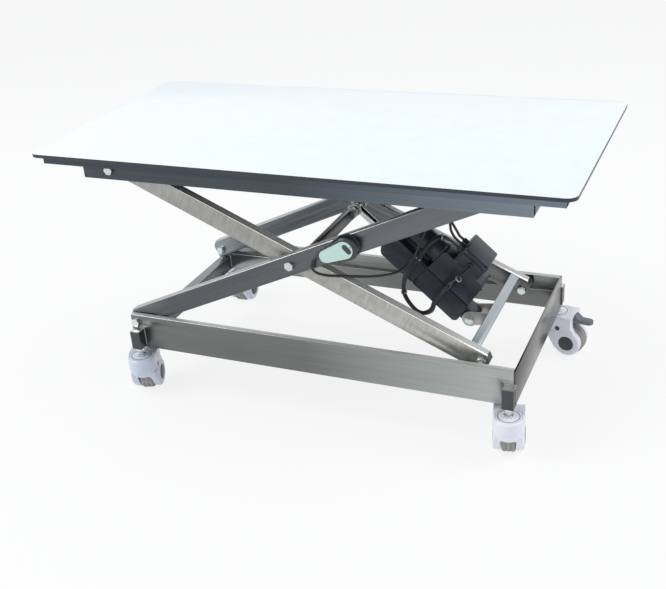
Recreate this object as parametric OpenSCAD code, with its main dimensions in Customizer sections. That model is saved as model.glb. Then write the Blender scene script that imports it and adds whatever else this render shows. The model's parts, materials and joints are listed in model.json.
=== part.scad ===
// Veterinary surgery table on castors, with an electric scissor lift.
// X runs along the table, Y runs to the rear, Z is up, and the floor is z = 0.
// The origin is on the floor under the middle of the tabletop.

/* [Tabletop] */
// Length of the tabletop
table_l = 1200; // [1150:10:1400]
// Width of the tabletop
table_w = 600; // [560:10:760]
// Thickness of the board
board_t = 8; // [5:0.5:12]
// Corner radius of the board
board_r = 22; // [10:1:60]
// Height of the tabletop's upper face as drawn
table_h = 625; // [520:5:820]

/* [Frame under the board] */
// Side of the square frame tube
frame_w = 20; // [15:1:30]
// Wall of the frame tube
frame_wall = 1.5; // [1:0.25:3]
// Distance from the board's edge to the frame
frame_inset = 21; // [12:1:30]

/* [Top channels] */
// Height of the top channel
chan_h = 45; // [42:1:60]
// Web thickness of the top channel
chan_t = 3; // [2:0.5:4]
// Flange thickness of the top channel
chan_flange = 2.5; // [2:0.5:4]
// Length of the channel to the left of the top pivot
chan_back = 69; // [50:1:90]
// Length of the top channel
chan_l = 1021; // [1010:1:1060]

/* [Base rails] */
// Height of the rails' lower edge above the floor
base_z = 124; // [120:1:150]
// Width over the outer faces of the rails
rail_span = 463; // [430:1:520]
// Depth of a rail, from its outer face to its lips
rail_d = 14; // [13:0.5:18]
// Web thickness of a rail
rail_t = 3; // [2:0.5:4]
// Flange thickness of a rail
rail_flange = 2.5; // [2:0.5:4]
// Height of the closed box below the roller track
box_h = 47.5; // [42:0.5:60]
// Wall of the closed box
box_wall = 2; // [1.5:0.5:3]
// Length of a rail to the left of the base pivot
base_back = 12; // [8:1:24]
// Length of a rail
base_l = 934; // [930:1:980]
// Thickness of the right end plate
plate_t = 4; // [3:0.5:8]
// Width of the low left cross tube
left_tube_w = 25; // [20:1:30]
// Height of the low left cross tube
left_tube_h = 40; // [30:1:40]

/* [Scissor arms] */
// Distance between the pivots of an arm
arm_l = 922.5; // [915:0.5:930]
// Height of the arm tube
arm_h = 47; // [40:1:50]
// Thickness of the arm tube
arm_t = 22; // [18:1:24]
// Wall of the arm tube
arm_wall = 2; // [1.5:0.25:3]
// Corner radius of the arm tube
arm_r = 3; // [2.5:0.5:5]
// Length of an arm past its last pivot
arm_end = 14; // [12:1:16]
// Chamfer on the outer end of an arm
arm_chamfer = 12; // [6:1:16]
// Offset of the end pivots from the tube's middle line
hole_off = 6; // [3:0.5:8]
// Distance of the base pivot from the middle of the table
pivot_x = 443; // [430:1:455]
// Gap between the rail lips and the outer arms
arm_gap = 1.5; // [1:0.25:3]
// Gap between the outer and inner arms
arm_space = 1; // [0.8:0.1:2]

/* [Pivot bolts and rollers] */
// Diameter of the pivot bolts
bolt_d = 12; // [10:1:14]
// Width of a bolt head across its flats
bolt_af = 19; // [17:1:21]
// Height of a bolt head
bolt_head = 6; // [5:0.5:8]
// Radial clearance of a pivot
pivot_fit = 0.05; // [0.02:0.01:0.09]
// Outer diameter of the bushes and spacers
bush_d = 24; // [20:1:26]
// Radius of the lower rollers
roller_r = 17; // [15:0.5:18]
// Width of a roller
roller_w = 9; // [7:0.5:10]
// Gap between a roller and its track
roller_gap = 0.5; // [0.4:0.1:1]

/* [Crossbars] */
// Width of the lower crossbar along the arms
low_bar_w = 22; // [18:1:26]
// Distance from the centre pivot to the lower crossbar
low_bar_s = 420; // [400:1:422]
// Width of the push crossbar along the arms
push_bar_w = 25; // [20:1:30]
// Height of the push crossbar
push_bar_h = 21.5; // [18:0.5:24]
// Distance from the centre pivot to the push crossbar
push_bar_s = 55; // [55:1:70]
// Wall of the crossbars
bar_wall = 2; // [1.5:0.25:3]

/* [Actuator] */
// Distance from the tail pin to the rod pin, as drawn, less what the places give
tail_s = 389.5; // [380:0.5:395]
// Depth of the tail pin below the middle line of the inner arms
tail_p = 24.7; // [22:0.1:28]
// Distance of the rod pin from the push crossbar
rod_off = 14; // [13:0.5:18]
// Height of the rod pin over the middle line of the outer arms
rod_p = 21; // [18:0.5:24]
// Diameter of the push rod
rod_d = 19; // [16:0.5:20]
// Outer diameter of the actuator's tube
tube_d = 38; // [34:1:42]
// Wall of the actuator's tube
tube_wall = 3.5; // [2.5:0.25:5]
// Thickness of the actuator housing
act_t = 70; // [60:1:80]
// Diameter of the motor
motor_d = 62; // [54:1:64]
// Length of the motor
motor_l = 88; // [70:1:92]
// Width of the control box along the actuator
ctrl_l = 68; // [55:1:72]
// Height of the control box over the housing
ctrl_h = 46; // [36:1:55]
// Thickness of the control box
ctrl_t = 84; // [70:1:90]
// Radial clearance of the push rod in its bush
rod_fit = 0.06; // [0.03:0.01:0.09]
// Thickness of the bracket plates
lug_t = 5; // [4:0.5:6]
// Gap between the rod bracket's plates
rod_lug_gap = 26; // [25:0.5:30]
// Gap between the tail bracket's plates
tail_lug_gap = 42; // [38:1:46]
// Diameter of the tail pin
tail_pin_d = 12; // [10:1:14]
// Side gap between an eye and its bracket
eye_gap = 0.3; // [0.2:0.1:0.5]

/* [Hand control] */
// Distance from the centre pivot to the small end's middle
hand_s = 94.6; // [88:0.2:100]
// Distance between the middles of the two ends
hand_l = 69.8; // [60:0.2:76]
// Radius of the big end
hand_r = 30; // [26:0.5:32]
// Radius of the small end
hand_tip_r = 14; // [10:0.5:16]
// Thickness of the hand control
hand_t = 24; // [18:0.5:28]
// Gap between the hand control and its arm
hand_gap = 0.3; // [0.2:0.1:0.5]
// Step between the layers at the rim
hand_step = 2.5; // [1.5:0.25:3]
// Thickness of the faceplate
face_t = 1.6; // [1.2:0.1:2]
// Length of the rocker
rocker_l = 23; // [18:0.5:26]
// Width of the rocker
rocker_w = 11; // [8:0.5:13]
// Gap round the rocker
rocker_gap = 0.6; // [0.5:0.1:1]
// Turn of the rocker from the length of the hand control
rocker_turn = 70; // [40:5:90]

/* [Castors] */
// Radius of the tyre
wheel_r = 37.5; // [36:0.5:38.5]
// Width of the tyre
tyre_w = 31; // [26:1:32]
// Radius of the wheel core
core_r = 27; // [24:0.5:30]
// Diameter of the castor axle
axle_d = 8; // [6:0.5:10]
// Distance from the swivel axis to the axle
trail = 36; // [32:0.5:40]
// Height of the castor's housing
castor_h = 107; // [104:1:110]
// Width of the castor's housing
castor_w = 68; // [64:1:72]
// Radius of the round covers over the wheel
cover_r = 34; // [33:0.5:36]
// Gap between the tyre and the inside of the housing
tyre_gap = 2; // [1.5:0.25:3]
// Rounding of the covers' edge
cover_edge = 7; // [4:0.5:9]
// Radius of the swivel disc
disc_r = 27.5; // [25:0.5:29]
// Diameter of the castor stem
stem_d = 11; // [10:0.5:12]
// Side of the square castor posts
post_w = 25; // [22:1:26]
// Height of the castor posts
post_h = 47; // [40:1:60]
// Height of the posts' lower end over the rail's lower edge
post_up = 5; // [3:0.5:10]
// Distance from the left end of the rails to the left posts
post_left = 20; // [18:1:40]
// Distance from the right end of the rails to the right posts
post_right = 10.5; // [10:0.5:40]
// Swivel angle of the front left castor
turn_fl = 110; // [60:1:140]
// Swivel angle of the front right castor
turn_fr = 102; // [60:1:140]
// Swivel angle of the rear left castor
turn_rl = 92; // [60:1:140]
// Swivel angle of the rear right castor
turn_rr = -10; // [-40:1:40]

/* [Cables] */
// Diameter of the cables
cable_d = 6; // [5:0.5:8]

/* [Hidden] */

$fn = 48;
// Overrun of cutting tools past a face
cut = 1;
// Colours
steel = [0.62, 0.64, 0.66];
bright = [0.78, 0.79, 0.80];
dark_steel = [0.45, 0.47, 0.49];
lilac = [0.88, 0.88, 0.96];
charcoal = [0.20, 0.22, 0.24];
black = [0.10, 0.11, 0.13];
tyre_grey = [0.50, 0.49, 0.48];
board_white = [0.94, 0.97, 0.99];
mint = [0.80, 0.94, 0.88];

// Levels
ledge_z = base_z + box_h;
base_pivot_z = ledge_z + roller_gap + roller_r;
track_top = base_pivot_z + roller_r + roller_gap;
rail_top = track_top + rail_flange;
frame_z = table_h - board_t - frame_w;
chan_z = frame_z - chan_h;
top_pivot_z = frame_z - chan_h / 2;
top_roller_r = chan_h / 2 - chan_flange - roller_gap;

// Fold of the scissor as drawn
half_l = arm_l / 2;
theta = asin((top_pivot_z - base_pivot_z) / arm_l);
tilt = theta - atan(hole_off / half_l);
hole_s = sqrt(half_l * half_l - hole_off * hole_off);
centre_x = -pivot_x + half_l * cos(theta);
centre_z = (top_pivot_z + base_pivot_z) / 2;
roller_x = -pivot_x + arm_l * cos(theta);

// Places across the table, measured from the middle plane
web_y = rail_span / 2;
web_in_y = web_y - rail_t;
top_web_in_y = web_y - chan_t;
lip_y = web_y - rail_d;
outer_y = lip_y - arm_gap;
outer_in_y = outer_y - arm_t;
inner_y = outer_in_y - arm_space;
inner_in_y = inner_y - arm_t;
washer_t = arm_space * 0.8;
nut_h = bolt_head;
slip = arm_space / 10;

// Places along the table
base_left = -pivot_x - base_back;
base_right = base_left + base_l;
rail_end = base_right - plate_t;
chan_left = -pivot_x - chan_back;
chan_right = chan_left + chan_l;

// Draws an outline of the X-Z plane from y0 to y1
module side(y0, y1) {
  translate([0, y1, 0]) rotate([90, 0, 0]) linear_extrude(y1 - y0) children();
}
// A round bar along Y
module bar_y(r, y0, y1) {
  translate([0, y1, 0]) rotate([90, 0, 0]) cylinder(r = r, h = y1 - y0);
}
// A hexagon along Y
module hex_y(af, y0, y1) {
  translate([0, y1, 0]) rotate([90, 0, 0]) cylinder(r = af / sqrt(3), h = y1 - y0, $fn = 6);
}
// The same piece on the front or, mirrored, on the rear
module at_rear() { mirror([0, 1, 0]) children(); }
// A rectangle with true round corners, centred
module round_rect(w, h, r) {
  square([w - 2 * r, h], center = true);
  square([w, h - 2 * r], center = true);
  for (i = [-1, 1], j = [-1, 1]) {
    translate([i * (w / 2 - r), j * (h / 2 - r)]) circle(r);
  }
}
// Places a piece of the outer or inner arms: local X along the tube, local Z across it
module outer_frame() {
  translate([centre_x, 0, centre_z]) rotate([0, -tilt, 0]) children();
}
module inner_frame() {
  translate([centre_x, 0, centre_z]) rotate([0, tilt, 0]) children();
}

// Base

module rail_profile() {
  // local x is the distance from the outer face inwards, local y is the height
  difference() {
    square([rail_d, rail_top - base_z]);
    translate([rail_t, box_h]) square([rail_d, track_top - ledge_z]);
    translate([rail_t, box_wall]) square([rail_d - rail_t - box_wall, box_h - 2 * box_wall]);
  }
}
module base_rail() {
  color(steel) difference() {
    translate([base_left, -web_y, base_z]) rotate([90, 0, 90])
      linear_extrude(rail_end - base_left) rail_profile();
    translate([-pivot_x, 0, base_pivot_z]) bar_y(bolt_d / 2 + pivot_fit, -web_y - cut, -lip_y);
  }
}
module base_rail_front() { base_rail(); }
module base_rail_rear() { at_rear() base_rail(); }
module base_left_tube() {
  color(bright) translate([base_left, lip_y, base_z]) rotate([90, 0, 0])
    linear_extrude(2 * lip_y) difference() {
      square([left_tube_w, left_tube_h]);
      translate([bar_wall, bar_wall]) square([left_tube_w - 2 * bar_wall, left_tube_h - 2 * bar_wall]);
    }
}
module base_right_plate() {
  color(bright) translate([rail_end, -web_y, base_z]) cube([plate_t, rail_span, rail_top - base_z]);
}

// Pivot bolt with its head, spacer and nut, along Y from the front
module pivot_bolt(head_y, web_out, web_in, arm_out, arm_in) {
  r = bolt_d / 2;
  hex_y(bolt_af, head_y - bolt_head, head_y);
  bar_y(r, head_y - slip, arm_in + nut_h + slip);
  bar_y(bush_d / 2, web_in, arm_out - slip);
  hex_y(bolt_af, arm_in + slip, arm_in + nut_h + slip);
}
module base_pivot_bolts() {
  color(bright) for (m = [0, 1]) mirror([0, m, 0]) translate([-pivot_x, 0, base_pivot_z])
    pivot_bolt(-web_y, -web_y, -web_in_y, -outer_y, -outer_in_y);
}

// Castors

post_z = base_z + post_up;
post_y = web_y + post_w / 2;
post_x_left = base_left + post_left;
post_x_right = base_right - post_right;
stem_low = wheel_r + wheel_r + tyre_gap + rail_t;
groove = cover_edge / 5;

module castor_posts() {
  color(dark_steel) for (x = [post_x_left, post_x_right], m = [0, 1])
    mirror([0, m, 0]) translate([x, -post_y, post_z]) difference() {
      translate([-post_w / 2, -post_w / 2, 0]) cube([post_w, post_w, post_h]);
      translate([0, 0, -cut]) cylinder(r = stem_d / 2 + pivot_fit, h = post_h / 2 + cut);
    }
}
module castor_stems() {
  gap = post_z - castor_h;
  color(bright) for (x = [post_x_left, post_x_right], m = [0, 1])
    mirror([0, m, 0]) translate([x, -post_y, 0]) {
      translate([0, 0, stem_low + pivot_fit])
        cylinder(r = stem_d / 2, h = post_z + post_h / 2 - stem_low - pivot_fit);
      translate([0, 0, castor_h + eye_gap]) cylinder(r = stem_d, h = gap / 5);
      translate([0, 0, post_z - gap / 2]) cylinder(r = bolt_af / sqrt(3), h = gap / 2, $fn = 6);
    }
}

// Castor, with its swivel axis on Z and the axle at (trail, wheel_r)
tower_back = trail + 10 * trail / 36;
head_r = castor_w / 2;
head_edge = castor_w / 11;
chin_top = castor_h * 0.76;
side_in = castor_w / 100;
lip = [-head_r * 0.42, chin_top - head_r * 0.86];
slot_w = tyre_w + 2 * tyre_gap;
slot_top = wheel_r * 1.38;
cheek_t = (castor_w - slot_w) / 2;
pocket_w = castor_w * 0.37;
pedal_r = trail / 6;
pedal_x = tower_back - pedal_r - eye_gap;
pedal_z = castor_h - 2.8 * pedal_r;
pedal_pin = pedal_r * 0.42;
wheel_cut = wheel_r + 1.5 * tyre_gap;

module swivel_head() {
  // round about the stem, rounded over at the top and drawn in below like a bowl
  rotate_extrude($fn = 96) {
    translate([0, chin_top]) square([head_r, castor_h - head_edge - chin_top]);
    translate([0, chin_top]) square([head_r - head_edge, castor_h - chin_top]);
    translate([head_r - head_edge, castor_h - head_edge]) circle(head_edge);
    intersection() {
      translate([0, chin_top - head_r]) square(head_r);
      translate([0, chin_top]) circle(head_r);
    }
  }
}
module tower() {
  // flat sided block behind the head
  side(side_in - head_r, head_r - side_in)
    polygon([[head_edge, castor_h], [tower_back, castor_h], [tower_back - groove, wheel_r * 2.15],
      [trail + cover_r * 0.55, wheel_r + cover_r * 0.83], [trail, wheel_r], [head_edge, wheel_r]]);
}
module cheek_fronts() {
  // from under the head down to the round covers, along their tangent
  to_axle = [trail, wheel_r] - lip;
  slope = atan2(to_axle[1], to_axle[0]) - asin(cover_r / norm(to_axle));
  reach = sqrt(to_axle * to_axle - cover_r * cover_r);
  touch = lip + reach * [cos(slope), sin(slope)];
  intersection() {
    side(-head_r, head_r)
      polygon([[lip[0], lip[1] + 2 * head_edge], lip, touch, [trail, wheel_r],
        [trail, lip[1] + 2 * head_edge]]);
    union() {
      cylinder(r = head_r - 2 * side_in, h = castor_h, $fn = 96);
      translate([0, 2 * side_in - head_r, 0]) cube([castor_w, castor_w - 4 * side_in, castor_h]);
    }
  }
}
module cover_disc() {
  // one cheek's round cover, revolved about the axle with a round edge
  rotate([90, 0, 0]) translate([0, 0, slot_w / 2]) rotate_extrude($fn = 96) {
    square([cover_r - cover_edge, cheek_t]);
    square([cover_r, cheek_t - cover_edge]);
    translate([cover_r - cover_edge, cheek_t - cover_edge]) circle(cover_edge);
  }
}
module castor_housing() {
  color(lilac) difference() {
    union() {
      difference() {
        union() {
          swivel_head();
          tower();
          cheek_fronts();
          for (m = [0, 1]) mirror([0, m, 0]) translate([trail, 0, wheel_r]) cover_disc();
        }
        // slot of the wheel, open at the front, below and at the back
        translate([trail, 0, wheel_r]) bar_y(wheel_cut, -slot_w / 2, slot_w / 2);
        translate([trail, -slot_w / 2, 0]) cube([castor_w * 2, slot_w, wheel_r + wheel_cut]);
        translate([trail - castor_w * 2, 0, 0]) rotate([90, 0, 90]) linear_extrude(castor_w * 2) {
          translate([0, slot_top - wheel_r]) round_rect(slot_w, 2 * wheel_r, 2.5 * tyre_gap);
        }
        // pocket of the pedal
        translate([pedal_x - pedal_r - 2 * eye_gap, -pocket_w / 2, wheel_r + wheel_cut - cut])
          cube([castor_w, pocket_w, pedal_z + pedal_r + 1.5 * tyre_gap - wheel_r - wheel_cut + cut]);
      }
      translate([trail, 0, wheel_r]) bar_y(axle_d / 2, -slot_w / 2 - cut, slot_w / 2 + cut);
      translate([pedal_x, 0, pedal_z]) bar_y(pedal_pin, -pocket_w / 2 - cut, pocket_w / 2 + cut);
    }
    // bore of the stem and groove round the swivel disc
    translate([0, 0, stem_low]) cylinder(r = stem_d / 2 + pivot_fit, h = castor_h);
    translate([0, 0, castor_h - groove]) rotate_extrude($fn = 96)
      translate([disc_r, 0]) square([groove, castor_h]);
    // seats of the caps and plugs
    for (m = [0, 1]) mirror([0, m, 0]) {
      translate([trail, 0, wheel_r]) bar_y(cap_r, castor_w / 2 - cap_t, castor_w);
      translate([plug_x, 0, plug_z]) bar_y(plug_r, castor_w / 2 - cap_t, castor_w);
    }
  }
}
cap_r = cover_r * 0.56;
cap_t = cheek_t / 6;
plug_r = cap_r / 3;
plug_x = trail * 0.35;
plug_z = wheel_r * 2;
module castor_caps() {
  color(charcoal) for (m = [0, 1]) mirror([0, m, 0]) {
    translate([trail, 0, wheel_r])
      bar_y(cap_r - pivot_fit, castor_w / 2 - cap_t, castor_w / 2 + cap_t / 4);
    translate([plug_x, 0, plug_z])
      bar_y(plug_r - pivot_fit, castor_w / 2 - cap_t, castor_w / 2 - cap_t / 4);
  }
}
module castor_core() {
  hub_r = axle_d;
  rim = core_r / 9;
  color(charcoal) translate([trail, 0, wheel_r]) rotate([90, 0, 0]) difference() {
    rotate_extrude($fn = 64) {
      translate([0, -tyre_w / 2 - tyre_gap / 2]) square([hub_r, tyre_w + tyre_gap]);
      translate([0, -tyre_w / 8]) square([core_r, tyre_w / 4]);
      translate([core_r - rim, -tyre_w / 2]) square([rim, tyre_w]);
    }
    cylinder(r = axle_d / 2 + pivot_fit, h = 2 * tyre_w, center = true);
  }
}
module castor_tyre() {
  edge = (wheel_r - core_r) / 3;
  color(tyre_grey) translate([trail, 0, wheel_r]) rotate([90, 0, 0]) rotate_extrude($fn = 96)
    polygon([[core_r, -tyre_w / 2], [wheel_r - edge, -tyre_w / 2], [wheel_r, edge - tyre_w / 2],
      [wheel_r, tyre_w / 2 - edge], [wheel_r - edge, tyre_w / 2], [core_r, tyre_w / 2]]);
}
module castor_pedal() {
  w = pocket_w - 4 * eye_gap;
  back = tower_back + 2 * eye_gap;
  arm = pedal_r * 0.8;
  tongue = trail * 1.4;
  tongue_t = pedal_r * 1.4;
  low = pedal_z - arm / 2;
  color(dark_steel) difference() {
    union() {
      translate([pedal_x, 0, pedal_z]) bar_y(pedal_r, -w / 2, w / 2);
      side(-w / 2, w / 2) polygon([[pedal_x, low], [back + 2.5 * pedal_r, low],
        [back + 2.5 * pedal_r, low + tongue_t], [back + pedal_r, castor_h - arm / 2], [back, castor_h],
        [back, pedal_z + arm], [pedal_x, pedal_z + arm]]);
      translate([back + pedal_r, -w / 2, low]) cube([tongue - w / 2 - 2 * pedal_r, w, tongue_t]);
      translate([back + tongue - w / 2 - pedal_r, 0, low]) cylinder(r = w / 2, h = tongue_t);
    }
    translate([pedal_x, 0, pedal_z]) bar_y(pedal_pin + pivot_fit, -castor_w, castor_w);
  }
}
module castor_at(x, front, turn) {
  translate([x, front * -post_y, 0]) rotate([0, 0, turn]) children();
}
module at_fl() { castor_at(post_x_left, 1, turn_fl) children(); }
module at_fr() { castor_at(post_x_right, 1, turn_fr) children(); }
module at_rl() { castor_at(post_x_left, -1, turn_rl) children(); }
module at_rr() { castor_at(post_x_right, -1, turn_rr) children(); }

// Arms

module arm(out_y, in_y) {
  // front arm from out_y to in_y, with a bush at each pivot; drawn in the arm's own frame
  mid_y = -(out_y + in_y) / 2;
  end_s = hole_s + arm_end;
  r = bolt_d / 2 + pivot_fit;
  difference() {
    union() {
      intersection() {
        translate([-end_s, mid_y, 0]) rotate([90, 0, 90]) linear_extrude(2 * end_s) difference() {
          round_rect(arm_t, arm_h, arm_r);
          round_rect(arm_t - 2 * arm_wall, arm_h - 2 * arm_wall, arm_r - arm_wall);
        }
        side(-out_y, -in_y) polygon([[-end_s, -arm_h / 2], [end_s, -arm_h / 2], [end_s, arm_h / 2],
          [arm_chamfer - end_s, arm_h / 2], [-end_s, arm_h / 2 - arm_chamfer]]);
      }
      for (p = [[-hole_s, -hole_off], [0, 0], [hole_s, hole_off]])
        translate([p[0], 0, p[1]]) bar_y(bush_d / 2, -out_y, -in_y);
    }
    for (p = [[-hole_s, -hole_off], [0, 0], [hole_s, hole_off]])
      translate([p[0], 0, p[1]]) bar_y(r, -out_y - cut, -in_y + cut);
  }
}
module outer_arm_front() { color(steel) outer_frame() arm(outer_y, outer_in_y); }
module outer_arm_rear() { color(steel) at_rear() outer_frame() arm(outer_y, outer_in_y); }
// the inner arms are the same tubes turned end for end, so their chamfer is at the right
module inner_arm_front() {
  color(steel) inner_frame() mirror([1, 0, 0]) arm(inner_y, inner_in_y);
}
module inner_arm_rear() {
  color(steel) at_rear() inner_frame() mirror([1, 0, 0]) arm(inner_y, inner_in_y);
}
module box_bar(s, w, p, h, half) {
  // a closed-profile bar across the arms, from s to s + w along and p to p + h across them
  side(-half, half) difference() {
    translate([s, p]) square([w, h]);
    translate([s + bar_wall, p + bar_wall]) square([w - 2 * bar_wall, h - 2 * bar_wall]);
  }
}
module push_crossbar() {
  color(steel) outer_frame()
    box_bar(push_bar_s, push_bar_w, arm_h / 2 - push_bar_h, push_bar_h, outer_in_y);
}
module low_crossbar() {
  color(bright) inner_frame() box_bar(low_bar_s, low_bar_w, -arm_h / 2, arm_h, inner_in_y);
}

// Brackets: the rod pin is at (rod_s, rod_p) of the outer arms
rod_s = push_bar_s + push_bar_w + rod_off;
lug_r = rod_off;
module rod_bracket() {
  face = push_bar_s + push_bar_w;
  low = arm_h / 2 - push_bar_h;
  y0 = rod_lug_gap / 2;
  color(dark_steel) outer_frame() for (m = [0, 1]) mirror([0, m, 0]) {
    difference() {
      side(-y0 - lug_t, -y0) {
        polygon([[face, low], [rod_s, rod_p - lug_r], [rod_s, rod_p + lug_r], [face, rod_p + lug_r]]);
        translate([rod_s, rod_p]) circle(lug_r);
      }
      translate([rod_s, 0, rod_p]) bar_y(bolt_d / 2, -y0 - lug_t - cut, -y0 + cut);
    }
    translate([rod_s, 0, rod_p]) {
      bar_y(bolt_d / 2, -y0 - lug_t, -y0 - eye_gap);
      hex_y(bolt_af, -y0 - lug_t - bolt_head, -y0 - lug_t);
    }
  }
}
module tail_bracket() {
  y0 = tail_lug_gap / 2;
  r = lug_r * 1.3;
  color(dark_steel) inner_frame() for (m = [0, 1]) mirror([0, m, 0]) difference() {
    side(-y0 - lug_t, -y0) difference() {
      union() {
        polygon([[low_bar_s, -arm_h / 2], [low_bar_s, arm_h / 4], [tail_s, r - tail_p],
          [tail_s, -r - tail_p]]);
        translate([tail_s, -tail_p]) circle(r);
      }
      translate([low_bar_s, -arm_h * 2]) square([low_bar_w, arm_h * 4]);
    }
    translate([tail_s, 0, -tail_p]) bar_y(tail_pin_d / 2 + pivot_fit / 2, -y0 - lug_t - cut, cut - y0);
  }
}
module tail_pin() {
  y0 = tail_lug_gap / 2 + lug_t;
  color(bright) inner_frame() translate([tail_s, 0, -tail_p]) {
    bar_y(tail_pin_d / 2, -y0 - bolt_head, y0 + bolt_head);
    hex_y(bolt_af, -y0 - bolt_head, -y0);
    hex_y(bolt_af, y0, y0 + bolt_head);
  }
}

// Bolts and axles of the scissor

module centre_bolts() {
  color(bright) for (m = [0, 1]) mirror([0, m, 0]) outer_frame() {
    hex_y(bolt_af, -outer_y - bolt_head, -outer_y);
    bar_y(bolt_d / 2, -outer_y - slip, -inner_in_y + nut_h + slip);
    bar_y(bush_d / 2, -outer_in_y, -outer_in_y + washer_t);
    hex_y(bolt_af, -inner_in_y + slip, -inner_in_y + nut_h + slip);
  }
}
module axle(out_y, in_y, bore_in) {
  // axle from the arm's inner face to the roller's outer face, with a collar up to the roller
  bar_y(bolt_d / 2, -out_y, -bore_in + bolt_head);
  hex_y(bolt_af, -bore_in, -bore_in + bolt_head);
  bar_y(bush_d / 2, -in_y, -bore_in - arm_t);
}
roller_out = web_in_y - arm_space;
roller_in = roller_out - roller_w;
module upper_axles() {
  color(bright) for (m = [0, 1]) mirror([0, m, 0]) outer_frame() translate([hole_s, 0, hole_off])
    axle(roller_out, roller_in - slip, outer_in_y);
}
module lower_axles() {
  color(bright) for (m = [0, 1]) mirror([0, m, 0]) inner_frame()
    translate([hole_s, 0, -hole_off]) axle(roller_out, roller_in - slip, inner_in_y);
}
module roller(r) {
  color(black) difference() {
    bar_y(r, -roller_out, -roller_in);
    bar_y(bolt_d / 2 + pivot_fit, -roller_out - cut, cut - roller_in);
  }
}
module roller_base_front() { translate([roller_x, 0, base_pivot_z]) roller(roller_r); }
module roller_base_rear() { at_rear() translate([roller_x, 0, base_pivot_z]) roller(roller_r); }
module roller_top_front() { translate([roller_x, 0, top_pivot_z]) roller(top_roller_r); }
module roller_top_rear() { at_rear() translate([roller_x, 0, top_pivot_z]) roller(top_roller_r); }

// Table

module table_board() {
  color(board_white) translate([0, 0, table_h - board_t]) linear_extrude(board_t)
    round_rect(table_l, table_w, board_r);
}
cross_left_share = 0.0579;
cross_right_share = 0.9223;
module top_frame() {
  l = table_l - 2 * frame_inset;
  w = table_w - 2 * frame_inset;
  module tube(len) {
    linear_extrude(len) difference() {
      square(frame_w);
      translate([frame_wall, frame_wall]) square(frame_w - 2 * frame_wall);
    }
  }
  color(dark_steel) {
    for (y = [-w / 2, w / 2 - frame_w])
      translate([-l / 2, y, frame_z]) rotate([90, 0, 90]) tube(l);
    for (x = [-l / 2, l / 2 - frame_w, l * (cross_left_share - 0.5), l * (cross_right_share - 0.5)])
      translate([x, w / 2 - frame_w, frame_z]) rotate([90, 0, 0]) tube(w - 2 * frame_w);
  }
}
module chan_profile() {
  difference() {
    square([rail_d, chan_h]);
    translate([chan_t, chan_flange]) square([rail_d, chan_h - 2 * chan_flange]);
  }
}
module top_channel() {
  color(steel) difference() {
    translate([chan_left, -web_y, chan_z]) rotate([90, 0, 90]) linear_extrude(chan_l) chan_profile();
    translate([-pivot_x, 0, top_pivot_z]) bar_y(bolt_d / 2 + pivot_fit, -web_y - cut, -lip_y);
  }
}
module top_channel_front() { top_channel(); }
module top_channel_rear() { at_rear() top_channel(); }
module top_cross_members() {
  // angle sections between the channels' ends
  color(dark_steel) {
    for (x = [[chan_left, 1], [chan_right, -1]])
      translate([x[0], lip_y, chan_z]) rotate([90, 0, 0]) linear_extrude(2 * lip_y)
        scale([x[1], 1]) polygon([[0, 0], [frame_w, 0], [frame_w, chan_t], [chan_t, chan_t],
          [chan_t, chan_h], [0, chan_h]]);
  }
}
module top_pivot_bolts() {
  color(bright) for (m = [0, 1]) mirror([0, m, 0]) translate([-pivot_x, 0, top_pivot_z])
    pivot_bolt(-web_y, -web_y, -top_web_in_y, -inner_y, -inner_in_y);
}

// Actuator: its own frame has local X from the tail pin to the rod pin and local Z across it

tail = [centre_x + tail_s * cos(tilt) - tail_p * sin(tilt),
  centre_z - tail_s * sin(tilt) - tail_p * cos(tilt)];
rod_pin = [centre_x + rod_s * cos(tilt) - rod_p * sin(tilt),
  centre_z + rod_s * sin(tilt) + rod_p * cos(tilt)];
act_dx = rod_pin[0] - tail[0];
act_dz = rod_pin[1] - tail[1];
act_l = sqrt(act_dx * act_dx + act_dz * act_dz);
act_angle = atan2(act_dz, -act_dx);
module act_frame() {
  // local +X points up and to the left, local +Z up and to the right
  translate([tail[0], 0, tail[1]]) rotate([0, act_angle, 0]) mirror([1, 0, 0]) children();
}
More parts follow.
